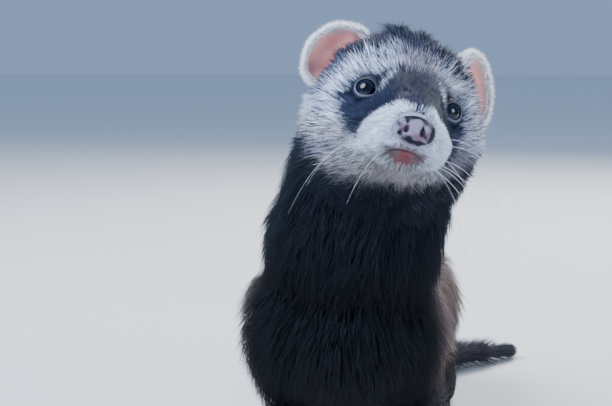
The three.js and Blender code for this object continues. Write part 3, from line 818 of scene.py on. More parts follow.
# Marks of the nose pad: middle and half size across and up from its centre (mm)
CHARCOAL_MARKS = [((-3.2, 3.0), (1.6, 1.2)), ((0.0, 3.7), (3.0, 0.9)), ((3.2, 2.6), (2.2, 1.4)),
                  ((5.2, 0.6), (1.2, 2.4)), ((-5.4, 0.6), (0.9, 1.4)), ((-2.3, -3.1), (1.6, 1.1)),
                  ((0.8, -3.8), (2.3, 0.9)), ((3.2, -3.7), (1.6, 0.8)), ((5.0, -2.2), (0.9, 1.1)),
                  ((-3.2, 1.3), (0.6, 1.0)), ((-4.6, -2.0), (0.8, 0.7)), ((1.7, 0.7), (0.5, 0.7))]
MAUVE_MARKS = [((3.2, -1.0), (3.0, 2.3)), ((-4.0, -0.6), (1.8, 1.8)), ((0.6, -2.3), (1.5, 0.8))]


def marked(across, up, marks, waver):
    """How far places lie inside oval marks that melt into one another, from 0 to 1."""
    total = sum(np.exp(-0.9 * (((across - x) / wide) ** 2 + ((up - z) / high) ** 2))
                for (x, z), (wide, high) in marks)
    return ramp(total + 0.5 * waver, 0.25, 1.05)


def nose_forms():
    """The nose pad's form, the form of its nostrils and groove, and where its middle line runs."""
    x, y, z = NOSE_AT
    pad = blend([
        ball(NOSE_AT, at(5.5, 4, 4.2)),
        *[ball(at(x + s * 3.3, y - 0.6, z - 0.2), at(2.7, 3.4, 3.2)) for s in BOTH],
        ball(at(x, y - 0.4, z - 2.9), at(2.6, 3, 2.2)),
    ], 1.2)
    holes = []
    for s, nostril in zip(BOTH, NOSTRILS_AT):
        front = settle(pad, at(x + nostril, y - 4, z - 0.5)[None], 5)[0]
        curl = [front, front + at(s * 1.1, 0.7, -0.8), front + at(s * 2.0, 1.6, -1.9)]
        holes += [ball(front + at(0, 0.4, 0), at(0.8, 1.7, 1.2)), *chain(curl, [0.6, 0.45, 0.25])]
    middle = x + sum(NOSTRILS_AT) / 2
    groove = chain([at(middle, y - 4.3, z - 0.4), at(middle, y - 3.6, z - 3.4), at(middle, y - 2, z - 6.4)],
                   [0.2, 0.3, 0.4])
    return pad, blend(holes + groove, 0.3), middle


def nose_pad():
    """The bare pad with its nostrils and its groove, mottled in lavender, mauve and charcoal, with painted
    shade inside the nostrils.
    """
    pad, dents, middle = nose_forms()
    axes = [spaced(c - r, c + r, 0.24) for c, r in zip(NOSE_AT, at(9, 8, 9))]
    points, quads = closed_surface(cut(pad, dents, 0.5), axes)
    across, up = points[:, 0] - NOSE_AT[0], points[:, 2] - NOSE_AT[2]
    waver = 0.3 * wander(points, 1.3, 41) + 0.2 * wander(points, 0.6, 42)
    tone = mix(NOSE_LAVENDER, NOSE_MAUVE, marked(across, up, MAUVE_MARKS, waver) * 0.8)
    tone = mix(tone, NOSE_CHARCOAL, marked(across, up, CHARCOAL_MARKS, waver))
    # Painted shade fills the nostrils' hollows, but not the groove between them.
    inner = ramp(dents(points), 0.15, -0.4) * ramp(np.abs(points[:, 0] - middle), 0.6, 1.2)
    tone = mix(tone, NOSTRIL_SHADE, inner)
    piece = make_mesh("nose_pad", from_head(points), quads, NOSE_LEATHER, {"coat": tone})
    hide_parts("nose")
    return piece


def ring_tube(points, radii, sides):
    """Points and quads of a tube through points. Its narrow ends stay open, inside the skin."""
    along = unit(np.gradient(points, axis=0))
    across = unit(np.cross(along, at(0, 0, 1)))
    up = np.cross(across, along)
    angle = np.linspace(0, 2 * math.pi, sides, endpoint=False)
    rings = points[:, None] + radii[:, None, None] * (
        np.cos(angle)[None, :, None] * across[:, None] + np.sin(angle)[None, :, None] * up[:, None])
    return rings.reshape(-1, 3), ring_quads(len(points), sides)


# Rolls of the upper and the lower lip: drop under the line of the mouth, radius, half width and depth
# under the coat, and how bright its colour is; the upper roll's 0.6 is painted shade in the line of the
# mouth
LIP_ROLLS = [(-0.5, 0.35, 7, 0.9, 0.6), (1.3, 1.75, 6.6, 2.1, 1.0)]


def lips():
    """The thin edge of the upper lip, darkened as painted shade in the line of the mouth, and the lower
    lip's moist roll under the line of the mouth.
    """
    rolls, faces, tints, count = [], [], [], 0
    for drop, radius, half_width, depth, bright in LIP_ROLLS:
        line = np.array(mouth_points(drop, half_width, depth))
        fullness = np.sin(np.linspace(0, math.pi, len(line)))
        points, quads = ring_tube(line, radius * (0.12 + 0.88 * fullness**0.7), 16)
        rolls.append(points)
        faces.append(quads + count)
        # A brightness below 1 paints the shade in the line of the mouth.
        tints.append(lip_colour(in_head(points)) * bright)
        count += len(points)
    points, quads, tints = (np.concatenate(each) for each in (rolls, faces, tints))
    return make_mesh("lips", points, quads, LIP_SKIN, {"coat": tints})


# Lid from its inner edge, over the rim and back to the face: share of the way from the eye's opening to
# the lid's end, and share of the lid's thickness above the eyeball
LID_PROFILE = [(0.12, -0.3), (0.0, 0.05), (-0.03, 0.3), (0.0, 0.6), (0.08, 0.85), (0.2, 1.0), (0.4, 1.05),
               (0.6, 1.05), (0.8, 1.0), (1.0, 0.8), (1.15, -0.2), (0.9, -0.8)]


def lid_shell(s):
    """Lids as one shell on the eyeball, open in an oval: points, quads and each point's profile row."""
    across, up, aim = EYE_AXES[s]
    around = np.linspace(0, 2 * math.pi, 72, endpoint=False)
    wide, high = EYE_OPENING
    opening = 1 / np.hypot(np.cos(around) / wide, np.sin(around) / high)
    # The opening runs out in a corner towards the nose, and in a blunter one away from it
    to_nose = -s * np.cos(around + s * math.radians(-20))
    opening = opening * (1 + 0.14 * np.maximum(to_nose, 0) ** 8 + 0.06 * np.maximum(-to_nose, 0) ** 8)
    sideways = np.cos(around)[:, None] * across + np.sin(around)[:, None] * up
    rings = []
    for share, height in LID_PROFILE:
        angle = opening + (LID_END - opening) * share
        radius = EYE_RADIUS + LID_THICKNESS * height
        rings.append(EYES[s] + radius * (np.sin(angle)[:, None] * sideways + np.cos(angle)[:, None] * aim))
    rows, sides = len(LID_PROFILE), len(around)
    return np.concatenate(rings), ring_quads(rows, sides, looped=True), np.repeat(np.arange(rows), sides)


def lids(s, name):
    """Both lids of an eye: black at the inner edge, bluish on the rim, and behind it the coat's colour
    darkened to 0.7 as painted shade under its short hairs.
    """
    points, quads, rows = lid_shell(s)
    rim = mix(LOWER_LID, UPPER_LID, ramp((points - EYES[s]) @ EYE_AXES[s][1], -1.5, 2.2))
    colour = mix(LID_EDGE, rim, ramp(rows, 1.5, 3.5))
    # Painted shade: the furred part behind the rim takes 0.7 of the coat's colour.
    colour = mix(colour, markings(points) * 0.7, ramp(rows, 3.5, 5.5))
    return make_mesh(name, points, quads, LID_SKIN, {"coat": colour})


def eyeball(s, name, node):
    """Eyeball with a slightly bulged cornea."""
    across, up, aim = EYE_AXES[s]
    rings, sides = 40, 64
    angle = np.linspace(0.02, math.pi - 0.02, rings)
    around = np.linspace(0, 2 * math.pi, sides, endpoint=False)
    radius = EYE_RADIUS * 0.99 * (1 + 0.03 * ramp(angle, 0.75, 0.3))
    a, t = np.meshgrid(angle, around, indexing="ij")
    r = np.repeat(radius[:, None], sides, 1)
    points = (EYES[s] + (r * np.sin(a) * np.cos(t))[..., None] * across
              + (r * np.sin(a) * np.sin(t))[..., None] * up
              + (r * np.cos(a))[..., None] * aim).reshape(-1, 3)
    piece = make_mesh(name, points, ring_quads(rings, sides), EYE, {"from_axis": a.ravel()})
    close_ends(piece)
    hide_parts(node)
    return piece


# Ears


def ear_axes(ear):
    aim = unit(ear["aim"])
    across = unit(np.cross(at(0, 0, 1), aim))
    return np.stack([across, np.cross(aim, across), aim], 1)


def ear_profile(steps=26):
    """Radius, height and side of the rings of an ear's dish, from the middle of its back over the rim to
    the middle of its inside. The side is -1 on the back, 0 on the rim and 1 inside."""
    back = np.linspace(0.02, math.pi / 2, steps)
    rows = [(EAR_RADIUS * math.sin(a), -EAR_DEPTH * math.cos(a), -1) for a in back]
    rows += [(EAR_RADIUS - EAR_THICKNESS / 2 + EAR_THICKNESS / 2 * math.cos(a), 0.9 * math.sin(a), 0)
             for a in np.linspace(0.25, 0.75, 4) * math.pi]
    rows += [((EAR_RADIUS - EAR_THICKNESS) * math.sin(a), -(EAR_DEPTH - EAR_THICKNESS) * math.cos(a), 1)
             for a in back[::-1]]
    return rows


def ear_shell(ear, sides=110):
    """Points of the ear's dish in the ear's own axes, its quads, and on which side each point lies."""
    around = np.linspace(0, 2 * math.pi, sides, endpoint=False)
    waver = 1 + 0.018 * np.sin(3 * around + 0.6) + 0.012 * np.sin(7 * around)
    rows = ear_profile()
    points = []
    for radius, height, side in rows:
        x = radius * np.cos(around) * waver
        y = radius * np.sin(around) * EAR_HEIGHT_SHARE * waver
        z = np.full(sides, height)
        if side == 1:
            # A soft fold runs up the inside, and the floor of the cup is uneven
            share = radius / EAR_RADIUS
            fold = np.exp(-((x * ear["side"] + 1.5) / 2.0) ** 2) * ramp(share, 0.98, 0.7) * ramp(y, 8, -2)
            z = z + 1.5 * fold + 0.35 * np.sin(x * 0.9 + 1) * np.sin(y * 0.8) * ramp(share, 0.95, 0.6)
        points.append(np.stack([x, y, z], 1))
    quads = ring_quads(len(rows), sides)[:, [0, 3, 2, 1]]
    return np.concatenate(points), quads, np.repeat([row[2] for row in rows], sides)


def ear_skin(ear, name, node):
    """Pink skin in the cup of the ear with streaks of painted shade for its creases, a whitish rim and a
    dark back.
    """
    points, quads, side = ear_shell(ear)
    placed = from_head(points @ ear_axes(ear).T + ear["centre"])
    radius = np.hypot(points[:, 0], points[:, 1]) / EAR_RADIUS
    pink = mix(EAR_PINK, EAR_PALE_PINK, ramp(radius, 0.3, 0.85))
    # Streaks of painted shade darken the front of the cup, where creases would hold shade.
    creases = ramp(wander(points * at(1, 0.3, 1), 2.0, 31), 0.1, 0.9)
    pink = pink * (1 - 0.5 * creases * ramp(-ear["side"] * points[:, 0], -3, 5))[:, None]
    colour = mix(pink, EAR_RIM, np.maximum(side <= 0, ramp(radius, 0.86, 0.98)))
    colour = mix(colour, EAR_BACK, (side < 0) * ramp(radius, 0.97, 0.6))
    piece = make_mesh(name, placed, quads, EAR_SKIN, {"coat": colour})
    close_ends(piece)
    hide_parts(node)
    return piece


# Coat: every tuft is a closed, tapered, three-sided spike that leaves the skin and bends down along it.
# Hairs of 0.05 mm are too fine to show, so a tuft stands for a few of them and is 0.3 mm wide.

# A tuft takes this share of the UV map, stays this far over the floor and starts this far under the skin.
UV_PATCH, FLOOR_GAP, ROOT_DEPTH = 0.003, 0.3, 0.2

# Tufts may pass the last point of the tail's line by this much, so the brush ends where the solid tail does.
TAIL_END_ROOM = 3.2

# Line round which the coat is unrolled in the UV map, from the nose to the root of the tail
SPINE = [from_head(NOSE_TIP - at(0, 6, 0)) - CHEST_SPOT, *NECK_LINE[::-1], *BACK_LINE, at(0, 165, 46)]


def unrolled(p, line, tile=0, tiles=1):
    """Place on the skin unrolled round a line, from 0 to 1: the angle round it, squeezed into one of
    several tiles side by side, and the length along it."""
    spans = [np.linalg.norm(b - a) for a, b in zip(line, line[1:])]
    nearest, round_it, along_it = np.full(len(p), 1e9), np.zeros(len(p)), np.zeros(len(p))
    passed = 0
    for start, end, span in zip(line, line[1:], spans):
        along = (end - start) / span
        across = unit(np.cross(along, at(1, 0, 0)))
        length = np.clip((p - start) @ along, 0, span)
        away = p - start - length[:, None] * along
        distance = length_of(away)
        angle = np.arctan2(away @ np.cross(across, along), away @ across) / (2 * math.pi) + 0.5
        nearer = distance < nearest
        round_it = np.where(nearer, angle, round_it)
        along_it = np.where(nearer, (passed + length) / sum(spans), along_it)
        nearest = np.minimum(nearest, distance)
        passed += span
    return 0.01 + 0.98 * np.stack([(tile + 0.01 + 0.98 * round_it) / tiles, along_it], 1)


def tuft_mesh(name, roots, out, along, length, width, lift, rings, colours, place):
    """A piece of coat. Lift is the angle in radians at which tufts leave the skin, and they bend from 1.4
    times that to a third of it. Colours are those of their roots and of their tips."""
    centres, headings = [roots], []
    for k in range(rings):
        angle = lift * (1.4 - 1.1 * k / max(rings - 1, 1)) if rings > 1 else lift
        heading = along * np.cos(angle)[:, None] + out * np.sin(angle)[:, None]
        headings.append(heading)
        centres.append(centres[-1] + heading * (length / rings)[:, None])
    points, tints, uvs = [], [], []
    for k in range(rings):
        across = unit(np.cross(headings[k], out))
        up = np.cross(across, headings[k])
        size = (width * (1 - 0.35 * k))[:, None]
        share = k / rings
        for corner in range(3):
            angle = math.pi * (0.5 + corner * 2 / 3)
            points.append(centres[k] + size * (0.5 * math.cos(angle) * across + 0.3 * math.sin(angle) * up))
            tints.append(mix(colours[0], colours[1], share))
            uvs.append(place + UV_PATCH * np.array([math.cos(angle) / 2, share - 0.5]))
    points.append(centres[-1])
    tints.append(colours[1])
    uvs.append(place + UV_PATCH * np.array([0, 0.5]))
    count, corners = len(roots), 3 * rings + 1
    faces = [(0, 1, 2)]
    for k in range(rings - 1):
        for a, b in ((0, 1), (1, 2), (2, 0)):
            low, high = 3 * k, 3 * k + 3
            faces += [(low + a, high + b, low + b), (low + a, high + a, high + b)]
    last = 3 * rings - 3
    faces += [(last + a, last + 3, last + b) for a, b in ((0, 1), (1, 2), (2, 0))]
    faces = (np.arange(count)[:, None, None] * corners + np.array(faces)[None]).reshape(-1, 3)
    points, tints, uvs = (np.stack(each, 1).reshape(count * corners, -1)
                          for each in (points, tints, uvs))
    points[:, 2] = np.maximum(points[:, 2], FLOOR_GAP)
    return make_mesh(name, points, faces, FUR, {"coat": tints}, uvs)


def spread(points, quads, count, rng, weights=1):
    """Random spots on quads, by area times weight, the quads' normals there, and which quads they are."""
    corners = points[quads]
    normals = np.cross(corners[:, 2] - corners[:, 0], corners[:, 3] - corners[:, 1])
    chance = length_of(normals) * weights
    picks = rng.choice(len(quads), count, p=chance / chance.sum())
    u, w = rng.random((2, count, 1))
    a, b, c, d = np.moveaxis(corners[picks], 1, 0)
    return (a * (1 - u) + b * u) * (1 - w) + (d * (1 - u) + c * u) * w, unit(normals[picks]), picks


def coat_region(p):
    """Which piece of the coat each point belongs to, as its number in TUFTS."""
    q, on_body, head, _, tail = parts_of(p)
    on_head = head > 0.5
    from_nose = length_of(q - NOSE_TIP)
    y, z = on_body[:, 1], on_body[:, 2]
    tests = {"muzzle": on_head & (from_nose < 17), "face": on_head & (from_nose < 34),
             "crown": on_head & (q[:, 2] > -1), "cheeks": on_head, "neck": z > 80, "tail": tail > 0.5,
             "forelegs": (z < 34) & (y < 45), "hindlegs": (z < 30) & (y > 75), "chest": y < 45,
             "flanks": y < 104}
    numbers = {name: number for number, name in enumerate(TUFTS)}
    return np.select(list(tests.values()), [numbers[name] for name in tests], numbers["rump"])


def laid(way, out):
    """Directions laid flat on the skin, which faces out."""
    return unit(way - out * (way * out).sum(1, keepdims=True))


def grown(spots, out, rng):
    """The way that hairs on spots of the skin lie, and their length, width and lift from the skin."""
    count = len(spots)
    q, on_body, head, foot, tail = parts_of(spots)
    depth = coat_depth(spots)
    # Hairs fall into loose locks that lean together, and stand up in small peaks on the crown
    peaks = head * np.exp(-((q[:, 0] + 4) / 9) ** 2 - ((q[:, 1] - 19) / 9) ** 2) * ramp(q[:, 2], 14, 19)
    lean = np.stack([wander(spots, 6, seed) for seed in (11, 12, 13)], 1)
    small_lean = np.stack([wander(spots, 2.6, seed) for seed in (21, 22, 23)], 1)
    way = unit(lie(spots)) + 0.17 * lean + rng.normal(0, 0.13, (count, 3))
    way += (0.16 * head + 0.5 * peaks)[:, None] * small_lean
    # They are longer in the ruff on the right of the chest, and shorter on the legs
    length = (2.0 * depth + 0.4 + 0.8 * head) * rng.uniform(0.75, 1.2, count)
    ruff = (1 - head) * (1 - tail) * (1 - foot) * ramp(on_body[:, 1], 50, 25) * ramp(on_body[:, 0], -12, -26)
    ruff = ruff * (1 + 0.8 * ramp(np.abs(on_body[:, 2] - 78), 18, 4))
    length *= 1 - 0.4 * (1 - head) * (1 - tail) * ramp(on_body[:, 2], 54, 26)
    length += 3.0 * ruff + 3.2 * peaks * (1 + 0.6 * wander(spots, 2.6, 24))
    lift = np.arcsin(np.clip(depth / length * rng.uniform(0.7, 1.5, count), 0.05, 0.9))
    lift = lift * (1 + 0.25 * wander(spots, 4, 14) + 0.3 * head * wander(spots, 2.2, 15))
    return laid(way, out), length, 0.27 + 0.006 * length, lift + 0.2 * ruff + 0.45 * peaks


def coloured(spots, out, way, length, rng):
    """Colours of the tufts' roots and tips, and their length, shorter on the lip and in the undercoat."""
    count = len(spots)
    q, on_body, head, _, tail = parts_of(spots)
    depth = coat_depth(spots)
    # A tuft has the colour of the place where its middle shows
    shown = spots + way * (length * 0.55)[:, None] + out * depth[:, None]
    ragged = shown + rng.normal(0, 1, (count, 3)) * (0.6 + 0.16 * depth * head)[:, None]
    on_lip = lip_share(in_head(shown)) * head
    colour = mix(markings(ragged), lip_colour(in_head(shown)) * 1.1, 0.9 * on_lip)
    length = length * (1 - 0.45 * on_lip)
    bright = rng.normal(0, 1, count) * (0.14 + (0.14 + 0.05 * depth) * head)
    bright = np.exp(bright + 0.15 * head * wander(spots, 1.2, 16))[:, None]
    # Roots are painted darker, most on the head, as painted shade deep in the coat, and tips brighter as
    # painted light on its surface.
    roots = colour * (0.85 - 0.35 * head)[:, None] * bright
    tips = colour * (1.1 + 0.1 * head)[:, None] * bright
    # Single pale hairs stand in the mask, and dark ones in the band and cheeks
    odd = rng.random(count)
    tone = colour[:, 1]
    pale = odd < 0.06 * (head > 0.9) * ramp(tone, 0.12, 0.05)
    tips = np.where(pale[:, None], ASH * 0.35, tips)
    often = 0.13 + 0.12 * ramp(q[:, 2], -14, -20) * ramp(np.abs(q[:, 0]), 8, 14)
    off_muzzle = length_of(q - NOSE_TIP) > 24
    dark = odd > 1 - often * (head > 0.9) * ramp(tone, 0.12, 0.25) * off_muzzle
    roots, tips = (np.where(dark[:, None], SLATE * 2, each) for each in (roots, tips))
    # On the flanks dark guard hairs stand over a shorter, paler undercoat
    flank = (1 - head) * ramp(on_body[:, 1], 30, 60) * (1 - tail) * ramp(on_body[:, 2], 15, 30)
    guard = 0.55 * flank * ramp(colour[:, 0], 0.03, 0.2)
    roots, tips = (mix(each, UMBER * 1.5, guard) for each in (roots, tips))
    under = rng.random(count) < 0.65 * flank * ramp(colour[:, 0], 0.02, 0.14)
    undercoat = TAUPE * bright * 1.1
    # The undercoat's roots are also painted darker than its tips, as painted shade.
    roots = np.where(under[:, None], undercoat * 0.8, roots)
    tips = np.where(under[:, None], undercoat * 1.1, tips)
    return roots, tips, np.where(under, length * 0.75, length)


def brushed(spots, out, way, length, lift, rng):
    """Way, length and lift of the tufts, drawn together to a pointed brush at the end of the tail."""
    count = len(spots)
    _, on_body, _, _, tail = parts_of(spots)
    tail_end = unit(TAIL_LINE[-1] - TAIL_LINE[-2])
    brush = tail * ramp(on_body[:, 1], 196, 210) * (0.3 + 0.7 * ramp(out @ tail_end, 0.1, 0.6))
    away = on_body - TAIL_LINE[-1]
    away = away - (away @ tail_end)[:, None] * tail_end
    point = unit(tail_end - 0.05 * away + rng.normal(0, 0.1, (count, 3)))
    way = unit(mix(way, laid(point, out), brush))
    steep = np.arcsin(np.clip((point * out).sum(1) + rng.uniform(0, 0.3, count), -0.3, 0.99))
    length = length + 6 * brush * rng.uniform(0.1, 1.1, count)
    room = TAIL_END_ROOM + np.maximum((TAIL_LINE[-1] - on_body) @ tail_end, 0)
    length = np.where(tail > 0.5, np.minimum(length, room * rng.uniform(0.8, 1, count)), length)
    return way, length, lift + (steep - lift) * brush


def unwrapped(name, on_body):
    """Place in the UV map of each spot: a leg is unrolled round its own bones, in one of two tiles."""
    if name == "tail":
        return unrolled(on_body, TAIL_LINE + [TAIL_LINE[-1] + at(8, 10, 0)])
    if name not in ("forelegs", "hindlegs"):
        return unrolled(on_body, SPINE)
    nearest = np.stack([np.abs(on_body - leg["palm"]).sum(1) for leg in LEGS]).argmin(0)
    place = np.zeros((len(on_body), 2))
    for i, leg in enumerate(LEGS):
        here = nearest == i
        place[here] = unrolled(on_body[here], [*leg["line"], leg["palm"] - at(0, 20, 2)], i % 2, 2)
    return place


def coat_piece(name, spots, rings, rng):
    """One piece of the coat, with a tuft of so many rings on each of the spots."""
    out = unit(slope_of(outside, spots, 0.3))
    way, length, width, lift = grown(spots, out, rng)
    roots, tips, length = coloured(spots, out, way, length, rng)
    way, length, lift = brushed(spots, out, way, length, lift, rng)
    # No hairs grow on bare skin, and on the face none stand over the eyes and the lower lip
    hidden = bare(spots)
    if name in ("muzzle", "face"):
        for share in (0.3, 0.6, 0.9):
            hidden = np.maximum(hidden, in_the_way(spots + (way * share + out * 0.3) * length[:, None]))
    stand = rng.random(len(spots)) >= hidden
    parts = (spots - out * ROOT_DEPTH, out, way, length, width, lift)
    return tuft_mesh("coat_" + name, *[each[stand] for each in parts], rings, (roots[stand], tips[stand]),
                     unwrapped(name, spots - CHEST_SPOT)[stand])


def coat(points, quads):
    """All pieces of the coat on the skin. The tufts bend only where they are long enough to show it."""
    regions = coat_region(points[quads].mean(1))
    pieces = []
    for number, (name, count) in enumerate(TUFTS.items()):
        rng = np.random.default_rng(100 + number)
        spots = spread(points, quads[regions == number], count, rng)[0]
        pieces.append(coat_piece(name, spots, 1 if name in ("muzzle", "face", "tail") else 2, rng))
    return pieces


def lid_coat():
    """Very short hairs on the lids, which lie away from the eye's opening."""
    rng = np.random.default_rng(200)
    groups = []
    for s in BOTH:
        points, quads, rows = lid_shell(s)
        furred = (rows[quads].min(1) > 2) & (rows[quads].max(1) < 10)
        spots = spread(points, quads[furred], LID_TUFTS, rng)[0]
        away, aim = spots - EYES[s], EYE_AXES[s][2]
        groups.append((spots, unit(away), laid(unit(away - (away @ aim)[:, None] * aim), unit(away))))
    spots, out, way = (np.concatenate(each) for each in zip(*groups))
    count = len(spots)
    way = unit(way + rng.normal(0, 0.2, (count, 3)))
    colour = markings(spots + out * 0.8) * np.exp(rng.normal(0, 0.25, count))[:, None]
    # The hairs' roots are painted darker and their tips lighter, as painted shade and light in the short
    # coat.
    return tuft_mesh("coat_lids", spots - out * 0.1, out, way, rng.uniform(0.7, 1.5, count),
                     np.full(count, 0.22), rng.uniform(0.15, 0.5, count), 1, (colour * 0.7, colour * 1.1),
                     unrolled(spots - CHEST_SPOT, SPINE))


def ear_fuzz(ear, name):
    """Fine white hairs on the ear's back, rim and margin, and longer dark and pale ones on its front."""
    rng = np.random.default_rng(210 + ear["side"])
    points, quads, side = ear_shell(ear)
    middle, within = points[quads].mean(1), side[quads].mean(1)
    share = np.hypot(middle[:, 0], middle[:, 1]) / EAR_RADIUS
    front = -ear["side"] * middle[:, 0] / EAR_RADIUS
    margin = ramp(share, 0.87, 0.96) * ramp(front, 0.75, 0.25) * 1.2 + 0.3 * ramp(front, 0.6, 0.9)
    weights = np.where(within > 0, margin, np.where(within < -0.5, 0.8, 2.5))
    spots, out, picks = spread(points, quads, EAR_TUFTS, rng, weights)
    count = len(spots)
    within, front, share = within[picks], front[picks], share[picks]
    inside, on_back = within > 0.5, within < -0.5
    # The back faces away from the dish's middle, the inside towards it, and the rim out of the ear
    facing = np.where(inside[:, None], -spots, np.where(on_back[:, None], spots, at(0, 0, 1)))
    out = out * np.sign((out * facing).sum(1) + 1e-6)[:, None]
    fringe = (within > -0.5) & (rng.random(count) < ramp(front, 0.4, 0.75))
    way = unit(spots * at(1, 1, 0)) + rng.normal(0, 0.25, (count, 3)) + at(0, 0, 0.35)
    fringe_way = at(ear["side"], 0.25, 0.5) + rng.normal(0, 0.25, (count, 3))
    way = laid(np.where(fringe[:, None], fringe_way, way), out)
    fringe_length, fuzz_length = rng.uniform(1.6, 3.4, count), rng.uniform(1.5, 2.8, count)
    length = np.where(fringe, fringe_length, np.where(inside, 0.45, 1) * fuzz_length)
    dark = fringe & (rng.random(count) < 0.6)
    colour = np.where(dark[:, None], EAR_DARK_HAIR, EAR_WHITE_HAIR)
    colour = mix(colour, EAR_BACK, 0.9 * on_back * ramp(share, 0.95, 0.6))
    colour = colour * np.exp(rng.normal(0, 0.1, count))[:, None]
    axes = HEAD_AXES @ ear_axes(ear)
    placed = from_head(spots @ ear_axes(ear).T + ear["centre"])
    # The UV map holds the back and the inside of the ear as two discs, side by side
    angle = np.arctan2(spots[:, 1], spots[:, 0])
    spin = np.stack([np.cos(angle), np.sin(angle)], 1) * (share * 0.2 + 0.01)[:, None]
    place = np.array([0.25, 0.5]) + spin + np.where((within > 0)[:, None], np.array([0.5, 0.0]), 0)
    # Roots are painted a little darker than tips, as painted shade at the ear's skin.
    return tuft_mesh("coat_ear" + name, placed, out @ axes.T, way @ axes.T, length,
                     np.where(fringe, 0.26, 0.24), rng.uniform(0.25, 0.7, count), 1,
                     (colour * 0.9, colour), place)


# Whiskers and claws: curves that Geometry Nodes turn into tapered horn


def horn_finish(name, tone, other_tone, roughness):
    """Horn of whiskers and claws: keratin grown in layers and worn smooth, so it is faintly glossy, and
    turns from one tone to another within 1.7 mm."""
    material, tree, shader = finish_of(name, Roughness=roughness, IOR=1.54)
    layers = add(tree, "ShaderNodeTexNoise", {"Vector": object_place(tree, 0.6), "Detail": 3.0})
    tint = add(tree, "ShaderNodeMix", {0: layers.outputs["Fac"], 6: rgba(tone), 7: rgba(other_tone)},
               data_type="RGBA")
    tree.links.new(tint.outputs[2], shader.inputs["Base Color"])
    return material


def horn_tree(material):
    """Curve to a round taper. Inputs: radius at the root, radius at the tip, sides of the section."""
    tree = bpy.data.node_groups.new("tapered_horn", "GeometryNodeTree")
    sockets = tree.interface
    sockets.new_socket("Geometry", in_out="OUTPUT", socket_type="NodeSocketGeometry")
    sockets.new_socket("Geometry", in_out="INPUT", socket_type="NodeSocketGeometry")
    for label, kind in (("Root radius", "NodeSocketFloat"), ("Tip radius", "NodeSocketFloat"),
                        ("Sides", "NodeSocketInt")):
        sockets.new_socket(label, in_out="INPUT", socket_type=kind)
    given = add(tree, "NodeGroupInput").outputs
    along = add(tree, "GeometryNodeSplineParameter").outputs["Factor"]
    radius = add(tree, "ShaderNodeMapRange", {"Value": along, "To Min": given["Root radius"],
                                              "To Max": given["Tip radius"]})
    section = add(tree, "GeometryNodeCurvePrimitiveCircle", {"Resolution": given["Sides"], "Radius": 1.0})
    tube = add(tree, "GeometryNodeCurveToMesh", {
        "Curve": given["Geometry"], "Profile Curve": section.outputs["Curve"],
        "Scale": radius.outputs["Result"], "Fill Caps": True})
    smooth = add(tree, "GeometryNodeSetShadeSmooth", {"Geometry": tube.outputs["Mesh"]})
    real = add(tree, "GeometryNodeRealizeInstances", {"Geometry": smooth.outputs["Geometry"]})
    dressed = add(tree, "GeometryNodeSetMaterial", {"Geometry": real.outputs["Geometry"],
                                                     "Material": material})
    add(tree, "NodeGroupOutput", {"Geometry": dressed.outputs["Geometry"]})
    return tree


def horn_piece(name, lines, root_radius, tip_radius, sides, material):
    """A plain mesh of tapered horns along lines of points in the frame."""
    curve = bpy.data.curves.new(name, "CURVE")
    curve.dimensions = "3D"
    for line in lines:
        spline = curve.splines.new("POLY")
        spline.points.add(len(line) - 1)
        spline.points.foreach_set("co", np.c_[np.array(line) * MM, np.ones(len(line))].ravel())
    growth = new_object(name + "_growth", curve)
    modifier = growth.modifiers.new("horn", "NODES")
    modifier.node_group = horn_tree(material)
    values = {"Root radius": root_radius * MM, "Tip radius": tip_radius * MM, "Sides": sides}
    for socket in modifier.node_group.interface.items_tree:
        if socket.in_out == "INPUT" and socket.name in values:
            modifier[socket.identifier] = values[socket.name]
    depsgraph = bpy.context.evaluated_depsgraph_get()
    mesh = bpy.data.meshes.new_from_object(growth.evaluated_get(depsgraph), depsgraph=depsgraph)
    bpy.data.objects.remove(growth)
    return new_object(name, mesh)


def whisker_lines(rng):
    """Whiskers grow in rows on both sides of the muzzle, the hindmost longest, and droop. Two short ones
    grow over each eye."""
    lines = []
    for s in BOTH:
        for row in range(WHISKER_ROWS):
            for i in range(WHISKERS_IN_ROW):
                back = i / (WHISKERS_IN_ROW - 1)
                root = at(s * (6 + 5 * back + rng.uniform(-0.5, 0.5)),
                          -20.5 + 8 * back + rng.uniform(-0.6, 0.6), -12.6 - 2.1 * row)
                heading = at(s * (1.0 - 0.1 * row), -0.3 + 0.5 * back, 0.3 - 0.15 * row)
                heading = heading + rng.normal(0, 0.13, 3)
                lines.append((root, heading, 13 + 15 * back * rng.uniform(0.6, 1.15)))
        for i in range(2):
            root, heading = at(s * (11 + 2 * i), 2 + i, 7.5 - i), at(s * (0.3 + 0.2 * i), -0.25, 0.9)
            lines.append((root, heading, 8 + 2 * i))
    for root, heading, length in lines:
        root = on_face([root])[0] - at(0, -0.5, 0)
        share = np.linspace(0, 1, 14)[:, None]
        droop = at(0, 0.15, -1) * share**2.0 * length * 0.95
        yield from_head(root) + (unit(heading) * share * length) @ HEAD_AXES.T + droop


def whiskers():
    """White and black whiskers, about as many of each, mixed at random."""
    rng = np.random.default_rng(220)
    lines = list(whisker_lines(rng))
    pale = rng.random(len(lines)) < 0.5
    pieces = []
    for kind, chosen, *tones in (("white", pale, "#f4f6fa", "#dfe5ee"),
                                 ("black", ~pale, "#14161c", "#2a2d35")):
        finish = horn_finish(kind + "_whisker", *tones, 0.35)
        hairs = [line for line, here in zip(lines, chosen) if here]
        pieces.append(horn_piece("whiskers_" + kind, hairs, *WHISKER_RADII, 5, finish))
    return pieces


